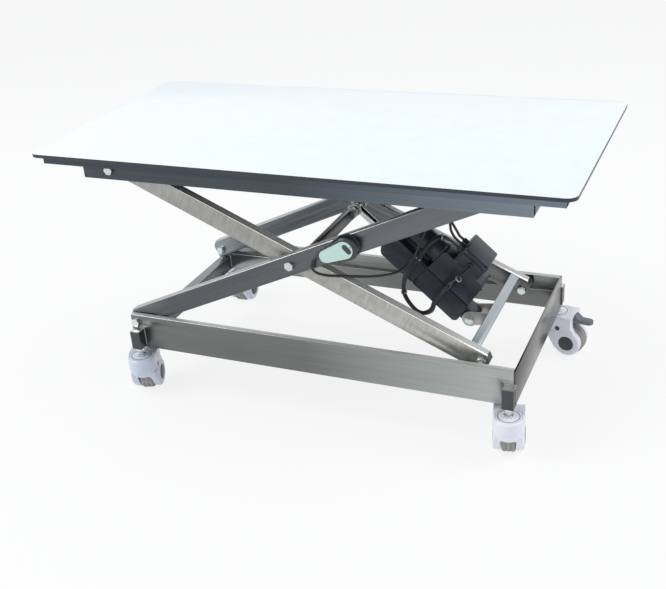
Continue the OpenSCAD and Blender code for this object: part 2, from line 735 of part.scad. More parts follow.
// Stations along the actuator, measured from the tail pin
case_a = act_l * 0.055;
case_b = act_l * 0.725;
tube_a = act_l * 0.445;
tube_b = act_l * 0.80;
bush_l = tube_d / 4;
tail_eye_r = tube_d * 0.42;
case_low = tube_d * 0.72;
case_high = tube_d * 0.8;
gear_high = tube_d * 2.4;
gear_b = act_l * 0.42;
motor_z = case_high + motor_d / 2 + eye_gap;
module case_outline() {
  c = case_low / 4;
  polygon([[case_a, case_low - c - case_low], [case_a, -case_low + c], [case_a + c, -case_low],
    [case_b - 2 * c, -case_low], [case_b - c, -tube_d / 2 - c / 2], [case_b, -tube_d / 2 + c],
    [case_b, case_high - c], [case_b - c, case_high], [gear_b, case_high],
    [gear_b, gear_high - c], [gear_b - c, gear_high], [case_a + 3 * c, gear_high],
    [case_a + 2 * c, gear_high - c], [case_a + c, case_high]]);
}
module act_housing() {
  rib = act_t / 20;
  color(black) act_frame() difference() {
    union() {
      side(-act_t / 2 + rib, act_t / 2 - rib) case_outline();
      // raised covers of the gear and of the spindle, with a parting line between them
      side(-act_t / 2, act_t / 2) difference() {
        case_outline();
        translate([gear_b, -2 * case_low]) square([rib, 4 * case_low]);
        translate([case_a, case_low * 0.95]) square([gear_b, rib]);
        translate([gear_b * 0.6, case_low]) square([rib, gear_high]);
      }
      // tail eye
      side(-tail_lug_gap / 2 + eye_gap, tail_lug_gap / 2 - eye_gap) {
        circle(tail_eye_r);
        translate([0, -tail_eye_r]) square([case_a + rib, 2 * tail_eye_r]);
      }
    }
    bar_y(tail_pin_d / 2 + pivot_fit, -act_t, act_t);
    // clearance of the bracket plates beside the eye
    for (m = [0, 1]) mirror([0, m, 0])
      bar_y(lug_r * 1.3 + 2 * tyre_gap, -act_t, -tail_lug_gap / 2 + eye_gap);
    translate([tube_a, 0, 0]) rotate([0, 90, 0]) cylinder(r = tube_d / 2 + pivot_fit, h = act_l);
  }
}
module act_motor() {
  flange = motor_d / 12;
  color(charcoal) act_frame() translate([gear_b + eye_gap, 0, motor_z]) rotate([0, 90, 0]) {
    cylinder(r = motor_d / 2 - pivot_fit, h = flange);
    cylinder(r = motor_d / 2 - flange / 2, h = motor_l - flange);
    cylinder(r = motor_d / 2 - flange, h = motor_l);
    translate([0, 0, motor_l - flange / 2]) cylinder(r = motor_d / 5, h = flange * 1.5);
    // cable gland on the motor's upper side
    translate([0, 0, gland_a]) rotate([0, -90, 0]) cylinder(r = cable_d, h = motor_d / 2 + gland_h);
  }
}
gland_a = motor_l * 0.7;
gland_h = 1.5 * cable_d;
ctrl_a = gear_b - ctrl_l - case_low;
module act_control_box() {
  edge = ctrl_h / 10;
  color(black) act_frame() {
    translate([ctrl_a + ctrl_l / 2, 0, gear_high + ctrl_h / 2]) difference() {
      union() {
        rotate([90, 0, 0]) linear_extrude(ctrl_t - 2 * edge, center = true)
          round_rect(ctrl_l, ctrl_h, edge);
        rotate([90, 0, 0]) linear_extrude(ctrl_t, center = true)
          round_rect(ctrl_l - 2 * edge, ctrl_h - 2 * edge, edge / 2);
      }
      // parting line of the lid
      translate([-ctrl_l, -ctrl_t, ctrl_h / 2 - 3 * edge]) difference() {
        cube([2 * ctrl_l, 2 * ctrl_t, edge / 4]);
        translate([ctrl_l / 2 + edge / 2, ctrl_t / 2 + edge / 2, -cut])
          cube([ctrl_l - edge, ctrl_t - edge, edge + cut]);
      }
    }
    // sockets of the cables on the face towards the rod
    for (y = [-1, 0, 1])
      translate([ctrl_a + ctrl_l, y * socket_y, gear_high + ctrl_h / 2])
        rotate([0, 90, 0]) cylinder(r = cable_d, h = socket_l);
    translate([ctrl_a + ctrl_l / 2, 0, gear_high + ctrl_h / 2])
      bar_y(cable_d, -ctrl_t / 2 - gland_h, -ctrl_t / 4);
  }
}
socket_y = ctrl_t / 4;
socket_l = 2 * cable_d;
module act_tube() {
  r = tube_d / 2;
  color(charcoal) act_frame() translate([tube_a, 0, 0]) rotate([0, 90, 0]) difference() {
    cylinder(r = r, h = tube_b - tube_a);
    translate([0, 0, tube_wall]) cylinder(r = r - tube_wall, h = tube_b - tube_a - tube_wall - bush_l);
    cylinder(r = rod_d / 2 + rod_fit, h = act_l);
  }
}
rod_a = act_l * 0.555;
rod_eye_r = rod_off * 0.68;
module act_rod() {
  w = rod_lug_gap / 2 - eye_gap;
  color(bright) act_frame() difference() {
    union() {
      translate([rod_a, 0, 0]) rotate([0, 90, 0]) cylinder(r = rod_d / 2, h = act_l - rod_a - rod_eye_r / 2);
      translate([act_l, 0, 0]) bar_y(rod_eye_r, -w, w);
    }
    translate([act_l, 0, 0]) bar_y(rod_eye_r / 2, -w - cut, w + cut);
  }
}

// Hand control: its own frame lies on the front face of the front outer arm

hand_back = outer_y + hand_gap;
layer_t = hand_t * 0.62;
rocker_pin = rocker_w / 12;
pin_y = -hand_back - hand_t + face_t + 2 * rocker_pin;
rocker_s = hand_l - rocker_w * 0.2;
arc_steps = 32;
module tear(inset) {
  // two arcs joined by their common tangents
  r1 = hand_tip_r - inset;
  r2 = hand_r - inset;
  a = 180 - acos((r2 - r1) / hand_l);
  polygon(concat(
    [for (i = [0:arc_steps]) let (t = a * (2 * i / arc_steps - 1))
      [hand_l + r2 * cos(t), r2 * sin(t)]],
    [for (i = [0:arc_steps / 2]) let (t = a + (360 - 2 * a) * 2 * i / arc_steps)
      [r1 * cos(t), r1 * sin(t)]]));
}
module stadium(l, w) {
  square([l - w, w], center = true);
  for (i = [-1, 1]) translate([i * (l - w) / 2, 0]) circle(w / 2);
}
module hand_frame() { outer_frame() translate([hand_s, 0, 0]) children(); }
// the rocker's own frame, turned on the face
module rocker_frame() { translate([rocker_s, 0, 0]) rotate([0, rocker_turn, 0]) children(); }
module hand_shell() {
  color(black) hand_frame() difference() {
    union() {
      side(-hand_back - layer_t / 2, -hand_back) tear(hand_step);
      side(-hand_back - layer_t, -hand_back - layer_t / 2) tear(0);
      side(-hand_back - hand_t + face_t, -hand_back - layer_t) tear(hand_step);
    }
    rocker_frame() {
      side(-hand_back - hand_t, -hand_back - hand_t / 2)
        stadium(rocker_l + 2 * rocker_gap, rocker_w + 2 * rocker_gap);
      // seats of the rocker's pin
      translate([0, pin_y, 0]) cylinder(r = rocker_pin + pivot_fit, h = rocker_w * 1.4, center = true);
    }
    // plug of the cord
    translate([-hand_tip_r - cut, -hand_back - layer_t / 2, 0]) rotate([0, 90, 0])
      cylinder(r = cable_d / 2 + pivot_fit, h = hand_tip_r);
  }
}
module hand_face() {
  color(mint) hand_frame() difference() {
    side(-hand_back - hand_t, -hand_back - hand_t + face_t) tear(2 * hand_step);
    rocker_frame() side(-hand_back - hand_t - cut, -hand_back - hand_t + face_t + cut)
      stadium(rocker_l + 2 * rocker_gap, rocker_w + 2 * rocker_gap);
  }
}
module hand_rocker() {
  // domed along its length so that it tips about its middle
  depth = hand_t / 4;
  color(charcoal) hand_frame() rocker_frame() {
    intersection() {
      side(-hand_back - hand_t - rocker_gap, -hand_back - hand_t + depth) stadium(rocker_l, rocker_w);
      translate([0, -hand_back - hand_t + depth - rocker_l * 0.6 + depth, 0])
        cylinder(r = rocker_l * 0.8, h = rocker_l, center = true, $fn = 96);
    }
    translate([0, pin_y, 0]) cylinder(r = rocker_pin, h = rocker_w * 1.3, center = true);
  }
}

// Cables, as tubes swept along hand-chosen points

cord_sides = 8;
function unit(v) = v / norm(v);
// points of a smooth curve through the route's points
function spline(p, i, t) = let (
    n = len(p) - 1,
    a = p[max(i - 1, 0)], b = p[i], c = p[min(i + 1, n)], d = p[min(i + 2, n)])
  0.5 * ((2 * b) + (c - a) * t + (2 * a - 5 * b + 4 * c - d) * t * t
    + (3 * b - a - 3 * c + d) * t * t * t);
function smooth(p, k) = concat(
  [for (i = [0:len(p) - 2], j = [0:k - 1]) spline(p, i, j / k)], [p[len(p) - 1]]);
function tangent(p, i) = unit(p[min(i + 1, len(p) - 1)] - p[max(i - 1, 0)]);
// carries the side direction from ring to ring without twist
function sides(p, i = 0, u = [0, 1, 0]) = i >= len(p) ? [] :
  let (t = tangent(p, i), v = unit(u - (u * t) * t)) concat([v], sides(p, i + 1, v));
module cable(route, d, k) {
  p = smooth(route, k);
  s = sides(p);
  n = cord_sides;
  rings = [for (i = [0:len(p) - 1], j = [0:n - 1])
    let (t = tangent(p, i), w = cross(t, s[i]))
      p[i] + d / 2 * (s[i] * cos(j * 360 / n) + w * sin(j * 360 / n))];
  walls = [for (i = [0:len(p) - 2], j = [0:n - 1], h = [0, 1])
    let (a = i * n + j, b = i * n + (j + 1) % n)
      h == 0 ? [a, b, a + n] : [b, b + n, a + n]];
  last = (len(p) - 1) * n;
  ends = [for (j = [1:n - 2], e = [0, 1])
    e == 0 ? [0, j + 1, j] : [last, last + j, last + j + 1]];
  polyhedron(points = rings, faces = concat(walls, ends), convexity = 6);
}
// Directions of the actuator in the table's frame
act_u = [act_dx / act_l, 0, act_dz / act_l];
act_w = [act_dz / act_l, 0, -act_dx / act_l];
function act_point(a, y, b) = [tail[0], 0, tail[1]] + a * act_u + [0, y, 0] + b * act_w;
socket_tip = ctrl_a + ctrl_l + socket_l;
socket_b = gear_high + ctrl_h / 2;
side_gland_a = ctrl_a + ctrl_l / 2;
// supply loop: from the front socket, down in front of the housing and back up to the side gland
loop_route = [act_point(socket_tip, -socket_y, socket_b), act_point(socket_tip + 5, -socket_y, socket_b),
  act_point(socket_tip + 10, -socket_y, socket_b),
  act_point(socket_tip + 22, -23, socket_b + 1), act_point(socket_tip + 36, -29, socket_b + 1),
  [256, -36, 404], [240, -43, 394], [226, -47, 376], [208, -51, 350], [190, -53, 324], [176, -51, 296],
  [173, -48, 264], [188, -46, 234], [212, -44, 214], [234, -42, 222], [244, -41, 246], [262, -44, 274],
  [282, -56, 298], [296, -70, 314], [310, -80, 328], [322, -80, 339],
  act_point(side_gland_a, -ctrl_t / 2 - gland_h - 19, socket_b - 1),
  act_point(side_gland_a, -ctrl_t / 2 - gland_h - 9, socket_b),
  act_point(side_gland_a, -ctrl_t / 2 - gland_h - 4, socket_b),
  act_point(side_gland_a, -ctrl_t / 2 - gland_h, socket_b)];
motor_top = motor_z + motor_d / 2 + gland_h;
motor_end = gear_b + eye_gap + gland_a;
motor_route = [act_point(socket_tip, 0, socket_b), act_point(socket_tip + 5, 0, socket_b),
  act_point(socket_tip + 10, 0, socket_b),
  act_point(socket_tip + 22, 0, socket_b + 1), act_point(socket_tip + 36, 0, socket_b + 7),
  act_point(180, 0, 129), act_point(191, 0, 138), act_point(203, 0, 140), act_point(212, 0, 132),
  act_point(214, 0, 119), act_point(motor_end, 0, motor_top + 8), act_point(motor_end, 0, motor_top + 4),
  act_point(motor_end, 0, motor_top)];
hand_exit = [centre_x + (hand_s - hand_tip_r) * cos(tilt), -hand_back - layer_t / 2,
  centre_z + (hand_s - hand_tip_r) * sin(tilt)];
hand_out = [-cos(tilt), 0, -sin(tilt)];
cord_route = [hand_exit, hand_exit + 4 * hand_out, hand_exit + 9 * hand_out,
  hand_exit + 18 * hand_out - [0, 0, 2],
  [24, -224, 393], [24, -223, 381], [34, -219, 371], [54, -212, 366], [78, -203, 364], [110, -184, 358],
  [144, -146, 344], [174, -100, 334], [194, -74, 342], [210, -66, 364], [222, -60, 394], [234, -48, 424],
  [248, -30, 444], [264, -4, 449], [269, 16, 436], [268, 21, 420],
  act_point(socket_tip + 26, socket_y, socket_b + 5), act_point(socket_tip + 12, socket_y, socket_b),
  act_point(socket_tip + 5, socket_y, socket_b), act_point(socket_tip, socket_y, socket_b)];
module act_cables() {
  color(black) {
    cable(loop_route, cable_d, 3);
    cable(motor_route, cable_d, 3);
  }
}
module hand_cord() { color(black) cable(cord_route, cable_d, 3); }

base_rail_front();
base_rail_rear();
base_left_tube();
base_right_plate();
castor_posts();
castor_stems();
base_pivot_bolts();
at_fl() castor_housing();  // fl_housing
at_fl() castor_caps();  // fl_caps
at_fl() castor_core();  // fl_core
at_fl() castor_tyre();  // fl_tyre
at_fl() castor_pedal();  // fl_pedal
at_fr() castor_housing();  // fr_housing
at_fr() castor_caps();  // fr_caps
at_fr() castor_core();  // fr_core
at_fr() castor_tyre();  // fr_tyre
at_fr() castor_pedal();  // fr_pedal
at_rl() castor_housing();  // rl_housing
at_rl() castor_caps();  // rl_caps
at_rl() castor_core();  // rl_core
at_rl() castor_tyre();  // rl_tyre
at_rl() castor_pedal();  // rl_pedal
at_rr() castor_housing();  // rr_housing
at_rr() castor_caps();  // rr_caps
at_rr() castor_core();  // rr_core
at_rr() castor_tyre();  // rr_tyre
at_rr() castor_pedal();  // rr_pedal
outer_arm_front();
outer_arm_rear();
push_crossbar();
rod_bracket();
centre_bolts();
upper_axles();
hand_shell();
hand_face();
hand_rocker();
inner_arm_front();
inner_arm_rear();
low_crossbar();
tail_bracket();
tail_pin();
lower_axles();
roller_base_front();
roller_base_rear();
roller_top_front();
roller_top_rear();
table_board();
top_frame();
top_channel_front();
top_channel_rear();
top_cross_members();
top_pivot_bolts();
act_housing();
act_motor();
act_control_box();
act_tube();
act_rod();
act_cables();
hand_cord();
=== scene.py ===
# %% [markdown]
# # A veterinary surgery table with a scissor lift
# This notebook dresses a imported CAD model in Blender. The CAD gives every
# rigid part at its real size, and each part rides on a body of the lift.
# Here we add the camera, the light, the finishes and the small pieces that
# make the table look like the one in the photograph. The startup scene's own
# cube, lamp and camera go first, so that only the table is left.

import json
import math

import bmesh
import bpy
from mathutils import Matrix, Vector

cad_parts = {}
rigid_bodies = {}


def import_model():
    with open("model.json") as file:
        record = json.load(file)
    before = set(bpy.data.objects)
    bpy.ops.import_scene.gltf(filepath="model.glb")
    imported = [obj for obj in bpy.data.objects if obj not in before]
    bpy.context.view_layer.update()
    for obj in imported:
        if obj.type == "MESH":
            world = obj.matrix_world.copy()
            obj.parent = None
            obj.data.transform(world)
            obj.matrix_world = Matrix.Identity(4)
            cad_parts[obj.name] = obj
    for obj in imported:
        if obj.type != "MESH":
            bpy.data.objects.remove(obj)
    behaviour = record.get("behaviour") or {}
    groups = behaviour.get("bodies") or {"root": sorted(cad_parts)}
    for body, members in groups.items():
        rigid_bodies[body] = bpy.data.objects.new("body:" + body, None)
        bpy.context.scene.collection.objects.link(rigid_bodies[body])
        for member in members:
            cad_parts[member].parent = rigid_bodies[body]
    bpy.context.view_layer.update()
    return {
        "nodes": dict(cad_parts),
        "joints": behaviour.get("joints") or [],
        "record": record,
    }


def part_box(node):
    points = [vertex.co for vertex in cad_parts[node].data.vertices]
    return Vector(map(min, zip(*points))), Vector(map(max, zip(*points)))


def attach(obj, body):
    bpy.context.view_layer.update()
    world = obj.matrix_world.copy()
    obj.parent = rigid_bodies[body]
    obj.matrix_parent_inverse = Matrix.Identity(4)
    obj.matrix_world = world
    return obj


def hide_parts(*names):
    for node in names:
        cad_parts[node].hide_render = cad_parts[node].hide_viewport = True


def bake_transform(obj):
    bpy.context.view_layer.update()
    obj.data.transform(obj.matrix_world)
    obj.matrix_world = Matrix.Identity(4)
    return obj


for leftover in list(bpy.data.objects):
    bpy.data.objects.remove(leftover)
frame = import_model()
body_of = {n: b for b, nodes in frame["record"]["behaviour"]["bodies"].items() for n in nodes}
joint_of = {j["name"]: j for j in frame["joints"]}

# %% [markdown]
# ## Helpers for objects
# The small pieces are made in three ways: from points and faces, from lines,
# or from what a modifier makes of an object. These helpers keep the cells
# below short. The sizes of the CAD are in millimetres and Blender's are in
# metres, so a place in millimetres goes through one function.


# %% Objects, meshes and lines
def mm(*place):
    """A place given in millimetres."""
    return Vector(place) / 1000


def linked(name, data):
    """A new object of the scene."""
    made = bpy.data.objects.new(name, data)
    bpy.context.scene.collection.objects.link(made)
    return made


def evaluated_mesh(obj):
    """The mesh that the curve or the modifiers of an object make."""
    return bpy.data.meshes.new_from_object(
        obj.evaluated_get(bpy.context.evaluated_depsgraph_get()))


def closed_mesh(name, verts, faces, merge=0.0, cap=False):
    """A mesh with its normals outwards. Points nearer than merge become one."""
    mesh = bpy.data.meshes.new(name)
    mesh.from_pydata(verts, [], faces)
    work = bmesh.new()
    work.from_mesh(mesh)
    if merge:
        bmesh.ops.remove_doubles(work, verts=work.verts, dist=merge)
    if cap:
        rim = [e for e in work.edges if e.is_boundary]
        bmesh.ops.holes_fill(work, edges=rim, sides=0)
    bmesh.ops.recalc_face_normals(work, faces=work.faces)
    work.to_mesh(mesh)
    work.free()
    return mesh


def poly_curve(name, paths, cyclic=False):
    """A curve with one straight-sided spline for each path."""
    curve = bpy.data.curves.new(name, "CURVE")
    curve.dimensions = "3D"
    for path in paths:
        spline = curve.splines.new("POLY")
        spline.points.add(len(path) - 1)
        for point, place in zip(spline.points, path):
            point.co = (*place, 1)
        spline.use_cyclic_u = cyclic
    return curve


print("object helpers ready")

# %% [markdown]
# ## The camera
# The photograph was taken from the front right, from a little above the
# tabletop. The camera's place was solved from the corners of the tabletop,
# the rails and the arms, so a render lines up with the photograph.

# %% Camera at the photograph's viewing angle
YAW, PITCH, ROLL = 0.4363, -0.4680, 0.0784
CAMERA_PLACE = (0.8962, -1.9780, 1.3078)
FOCAL_PX, PHOTO_W = 1010.43, 666
SENSOR_W, CLIP_END = 36.0, 60
turn = Matrix.Rotation(YAW, 3, "Z") @ Matrix.Rotation(PITCH, 3, "X") @ Matrix.Rotation(ROLL, 3, "Y")
right, ahead, up = turn.col[0], turn.col[1], turn.col[2]
camera_data = bpy.data.cameras.new("camera")
camera_data.sensor_width = SENSOR_W
camera_data.lens = SENSOR_W * FOCAL_PX / PHOTO_W
camera_data.clip_end = CLIP_END
camera = linked("camera", camera_data)
camera.matrix_world = (Matrix.Translation(CAMERA_PLACE)
                       @ Matrix((right, up, -ahead)).transposed().to_4x4())
bpy.context.scene.camera = camera
bpy.context.scene.view_settings.view_transform = "Standard"
print("lens in mm:", round(camera_data.lens, 2))

# %% [markdown]
# ## Node helpers
# Every finish below is a small tree of nodes. A helper that adds a node, sets
# its values and links its inputs keeps the trees readable. Each pattern reads
# Object coordinates, so it stays on the piece when the lift moves.


# %% Nodes and materials
def node(tree, kind, links=None, values=None, **settings):
    """A new node with its settings, the values of its inputs and their links."""
    made = tree.nodes.new(kind)
    for key, value in settings.items():
        setattr(made, key, value)
    for key, value in (values or {}).items():
        made.inputs[key].default_value = value
    for key, source in (links or {}).items():
        tree.links.new(source, made.inputs[key])
    return made


def new_material(name):
    """A material with one shader, its tree and that shader."""
    mat = bpy.data.materials.new(name)
    mat.use_nodes = True
    tree = mat.node_tree
    tree.nodes.clear()
    bsdf = tree.nodes.new("ShaderNodeBsdfPrincipled")
    node(tree, "ShaderNodeOutputMaterial", {"Surface": bsdf.outputs["BSDF"]})
    return mat, tree, bsdf


print("node helpers ready")


# %% Patterns, tones and bump
def object_noise(tree, scale, detail, stretch=(1, 1, 1), tilt=0.0):
    """Noise on Object coordinates, stretched along the axes and turned about Y."""
    place = tree.nodes.new("ShaderNodeTexCoord")
    mapping = node(tree, "ShaderNodeMapping", {"Vector": place.outputs["Object"]},
                   {"Scale": stretch, "Rotation": (0, -tilt, 0)}, vector_type="TEXTURE")
    noise = node(tree, "ShaderNodeTexNoise", {"Vector": mapping.outputs["Vector"]},
                 {"Scale": scale, "Detail": detail})
    return noise.outputs["Fac"]


def shade(colour, factor):
    """A colour made darker or paler, up to white."""
    return tuple(min(1.0, c * factor) for c in colour)


def tone_of(tree, fac, colour, vary, places):
    """The colour, darker and paler by vary where the pattern is low and high."""
    made = tree.nodes.new("ShaderNodeValToRGB")
    line = made.color_ramp
    line.elements.new(0.5)
    for element, place, factor in zip(line.elements, places, (1 - vary, 1, 1 + vary)):
        element.position = place
        element.color = (*shade(colour, factor), 1.0)
    tree.links.new(fac, made.inputs["Fac"])
    return made.outputs["Color"]


def spread(tree, fac, low, high):
    """Maps a pattern from nought to one onto low to high."""
    made = node(tree, "ShaderNodeMapRange", {"Value": fac}, {"To Min": low, "To Max": high})
    return made.outputs["Result"]


def add_bump(tree, bsdf, height, strength, distance):
    """Lets a pattern raise the surface by up to the distance, in metres."""
    bump = node(tree, "ShaderNodeBump", {"Height": height},
                {"Strength": strength, "Distance": distance})
    tree.links.new(bump.outputs["Normal"], bsdf.inputs["Normal"])


print("pattern helpers ready")

# %% [markdown]
# ## Stainless steel
# The rails, arms and channels are brushed stainless steel. Brushing leaves
# fine scratches along the length of the piece, which spread the reflection
# across it. We stretch a noise along the grain and let it drive the colour,
# the roughness and a very low bump. A second, broad noise gives the soft
# light and dark patches of handled metal. A fade scales the tone along a
# piece: where it rises above one it is a painted reflection of the bright side
# of the room, and where it falls below one it is painted shade.


# %% Brushed and polished steel
SCRATCH, BAND, PATCH = (900, 2.0), (240, 2.0), (7, 3.0)
PATCH_STRETCH = (3, 1, 1)
STEEL_STOPS = (0.34, 0.50, 0.66)
SMOOTHER, ROUGHER = 0.07, 0.09
SCRATCH_DEPTH = 0.00004


def painted_light_fade(tree, tone, axis, start, end, low, high):
    """Painted reflection and shade: scales the tone from low to high between two places along an
    axis.
    """
    place = tree.nodes.new("ShaderNodeTexCoord")
    split = node(tree, "ShaderNodeSeparateXYZ", {"Vector": place.outputs["Object"]})
    along = node(tree, "ShaderNodeMapRange", {"Value": split.outputs[axis]},
                 {"From Min": start, "From Max": end, "To Min": low, "To Max": high})
    scale = node(tree, "ShaderNodeVectorMath", {0: tone, "Scale": along.outputs["Result"]},
                 operation="SCALE")
    return scale.outputs["Vector"]


def steel(name, colour, rough, tilt=0.0, grain=(60, 1, 1), depth=0.5, streak=0.14, painted_light_fades=(),
          metal=1.0):
    """Brushed steel; grain is the stretch of the scratches and tilt their slope. The fades paint
    reflection and shade into the tone.
    """
    mat, tree, bsdf = new_material(name)
    fine = object_noise(tree, *SCRATCH, grain, tilt)
    coarse = object_noise(tree, *BAND, grain, tilt)
    broad = object_noise(tree, *PATCH, PATCH_STRETCH, tilt)
    both = node(tree, "ShaderNodeMath", {0: fine, 1: coarse}, operation="ADD")
    whole = node(tree, "ShaderNodeMath", {0: both.outputs[0], 1: broad}, operation="ADD")
    third = node(tree, "ShaderNodeMath", {0: whole.outputs[0]}, {1: 1 / 3}, operation="MULTIPLY")
    tone = tone_of(tree, third.outputs[0], colour, streak, STEEL_STOPS)
    # Each fade is painted reflection and shade, scaled along an axis of the piece.
    for fade in painted_light_fades:
        tone = painted_light_fade(tree, tone, *fade)
    tree.links.new(tone, bsdf.inputs["Base Color"])
    tree.links.new(spread(tree, fine, rough - SMOOTHER, rough + ROUGHER), bsdf.inputs["Roughness"])
    bsdf.inputs["Metallic"].default_value = metal
    add_bump(tree, bsdf, fine, depth, SCRATCH_DEPTH)
    return mat


def make_finishes(maker, table):
    """Makes and keeps the finishes of a table, by name."""
    for name, (colour, rough, more) in table.items():
        finish[name] = maker(name, colour, rough, **more)
    print("finishes made:", len(table), "in all:", len(finish))


finish = {}
TILT = math.radians(23.9559)
OUTER, INNER = {"tilt": TILT}, {"tilt": -TILT}
CROSSWISE, EVEN = {"grain": (1, 60, 1)}, {"grain": (4, 4, 4)}

# %% The finishes of steel, as colour, roughness and the rest
# Paler copies of a steel for the top faces are painted light on lit tops, and the pale edge
# finishes are painted highlights on the bends.
make_finishes(steel, {
    "rail_front": ((0.30, 0.315, 0.31), 0.34, {"painted_light_fades": [("X", 0.0, 0.42, 0.58, 1.40)]}),
    "rail_rear": ((0.20, 0.205, 0.205), 0.22, {
        "painted_light_fades": [("X", -0.40, 0.05, 1.9, 1.0), ("Z", 0.185, 0.215, 0.80, 1.60)]}),
    "rail_top": ((0.56, 0.57, 0.56), 0.34, {"metal": 0.4}),
    "arm_outer": ((0.122, 0.130, 0.138), 0.34, {
        **OUTER, "painted_light_fades": [("X", -0.20, 0.40, 0.95, 1.35), ("X", -0.47, -0.35, 1.9, 1.0)]}),
    "arm_outer_rear": ((0.16, 0.178, 0.195), 0.34, {
        **OUTER, "painted_light_fades": [("X", -0.47, -0.36, 2.0, 1.0)]}),
    "arm_inner": ((0.37, 0.37, 0.35), 0.36, {
        **INNER, "grain": (2, 1, 9), "depth": 0.7, "streak": 0.24,
        "painted_light_fades": [("X", 0.05, 0.33, 1.0, 1.45)]}),
    "arm_inner_rear": ((0.17, 0.172, 0.175), 0.30, INNER),
    "arm_edge": ((0.42, 0.43, 0.43), 0.30, {**OUTER, "metal": 0.7}),
    "arm_top": ((0.66, 0.66, 0.65), 0.46, {**INNER, "metal": 0.1}),
    "bright_edge": ((0.86, 0.86, 0.85), 0.22, OUTER),
    "soft_edge": ((0.50, 0.51, 0.52), 0.30, {**OUTER, "metal": 0.8}),
    "channel": ((0.135, 0.160, 0.185), 0.34, {"painted_light_fades": [("X", 0.0, 0.50, 0.58, 1.60)]}),
    "frame": ((0.105, 0.130, 0.155), 0.38, {"painted_light_fades": [("X", 0.0, 0.50, 0.60, 1.60)]}),
    "cross": ((0.43, 0.47, 0.50), 0.32, CROSSWISE),
    "tube_left": ((0.12, 0.127, 0.132), 0.30, CROSSWISE),
    "tube_left_top": ((0.25, 0.27, 0.285), 0.30, CROSSWISE),
    "plate": ((0.24, 0.245, 0.23), 0.26, {
        **CROSSWISE, "depth": 0.3, "painted_light_fades": [("Y", -0.23, 0.10, 0.42, 1.0)]}),
    "post": ((0.085, 0.093, 0.097), 0.36, {"grain": (1, 1, 40)}),
    "post_top": ((0.66, 0.67, 0.66), 0.30, EVEN),
    "bracket": ((0.34, 0.345, 0.34), 0.30, {**INNER, "grain": (6, 1, 1)}),
    "tail_plate": ((0.55, 0.53, 0.50), 0.34, {**EVEN, "metal": 0.5}),
    "zinc": ((0.66, 0.71, 0.71), 0.24, {**EVEN, "depth": 0.3}),
    "screw_steel": ((0.10, 0.11, 0.125), 0.34, {"grain": (1, 1, 1), "depth": 0.3}),
    "weld": ((0.34, 0.335, 0.32), 0.42, {"grain": (1, 1, 1), "depth": 1.0}),
})

# %% [markdown]
# ## Moulded plastic, rubber and the laminate
# The castors, the hand control and the actuator are injection moulded, with
# the faint grain of a spark-eroded mould. The tyres are softer and duller.
# The tabletop is a smooth white laminate with a dark core that shows at its
# edge, so the board gets two finishes, one for the faces and one for the rim.
# The castors on the left side get a darker, bluer copy of the lilac: painted shade, as they stand
# in the table's shadow.


# %% Plastics, rubber and laminate
GRAIN_DETAIL, MOTTLE = 3.0, (22, 4.0)
MOULD_STOPS = (0.30, 0.55, 0.80)
GLOSSIER, DULLER = 0.05, 0.06
MOULD_DEPTH = 0.00006


def moulded(name, colour, rough, grain=0.35, size=2200, coat=0.0, vary=0.07):
    """A moulding with a fine grain and a faint mottle, with or without a clear coat."""
    mat, tree, bsdf = new_material(name)
    fine = object_noise(tree, size, GRAIN_DETAIL)
    broad = object_noise(tree, *MOTTLE)
    tree.links.new(tone_of(tree, broad, colour, vary, MOULD_STOPS), bsdf.inputs["Base Color"])
    tree.links.new(spread(tree, broad, rough - GLOSSIER, rough + DULLER),
                   bsdf.inputs["Roughness"])
    bsdf.inputs["Coat Weight"].default_value = coat
    add_bump(tree, bsdf, fine, grain, MOULD_DEPTH)
    return mat


LILAC = {"coat": 0.3, "vary": 0.03}
MINT = {"grain": 0.1, "coat": 0.4, "vary": 0.03}
make_finishes(moulded, {
    "board_face": ((0.875, 0.945, 0.990), 0.34, {"grain": 0.12, "size": 1400, "vary": 0.02}),
    "board_edge": ((0.030, 0.038, 0.052), 0.36, {"grain": 0.3, "size": 1400}),
    "castor_lilac": ((0.90, 0.895, 0.985), 0.30, LILAC),
    # A darker, bluer copy of the lilac for the two left castors: painted shade.
    "castor_shade": ((0.68, 0.73, 0.86), 0.30, LILAC),
    "castor_dark": ((0.035, 0.042, 0.05), 0.42, {}),
    # Near-black for the rings in the castor heads' gaps: painted shade.
    "groove_dark": ((0.02, 0.022, 0.03), 0.6, {}),
    "pedal_grey": ((0.15, 0.18, 0.20), 0.44, {}),
    "tyre_grey": ((0.37, 0.36, 0.345), 0.66, {"grain": 0.9, "size": 700, "vary": 0.12}),
    "wheel_core": ((0.08, 0.08, 0.085), 0.5, {}),
    "black_shell": ((0.022, 0.034, 0.050), 0.36, {"grain": 0.7}),
    "motor_black": ((0.035, 0.045, 0.057), 0.30, {"grain": 0.3}),
    "roller_nylon": ((0.05, 0.05, 0.055), 0.5, {}),
    "hand_black": ((0.028, 0.036, 0.044), 0.32, {"coat": 0.25}),
    "mint_face": ((0.60, 0.84, 0.75), 0.26, MINT),
    # A paler mint for the lip round the face: painted highlight.
    "mint_rim": ((0.78, 0.93, 0.88), 0.24, MINT),
    "rocker_dark": ((0.045, 0.06, 0.06), 0.38, {}),
    "cable_black": ((0.020, 0.023, 0.028), 0.40, {"grain": 0.3}),
    "tie_clear": ((0.42, 0.46, 0.50), 0.30, {"grain": 0.1}),
})

# %% [markdown]
# ## The free cables
# Three black cables show: one loops from the control box round the front of
# the actuator, one feeds the motor, and one runs from the hand control. They
# are flexible, so each follows one smooth curve with real slack. The points
# are those of the CAD model, and a curve through them is computed in the same
# way, so the loop and the motor's cable lie where their solids lie. The hand
# control's cord leaves it a little nearer its head, as in the photograph. Two
# more strands run beside the loop and make it a small bundle.

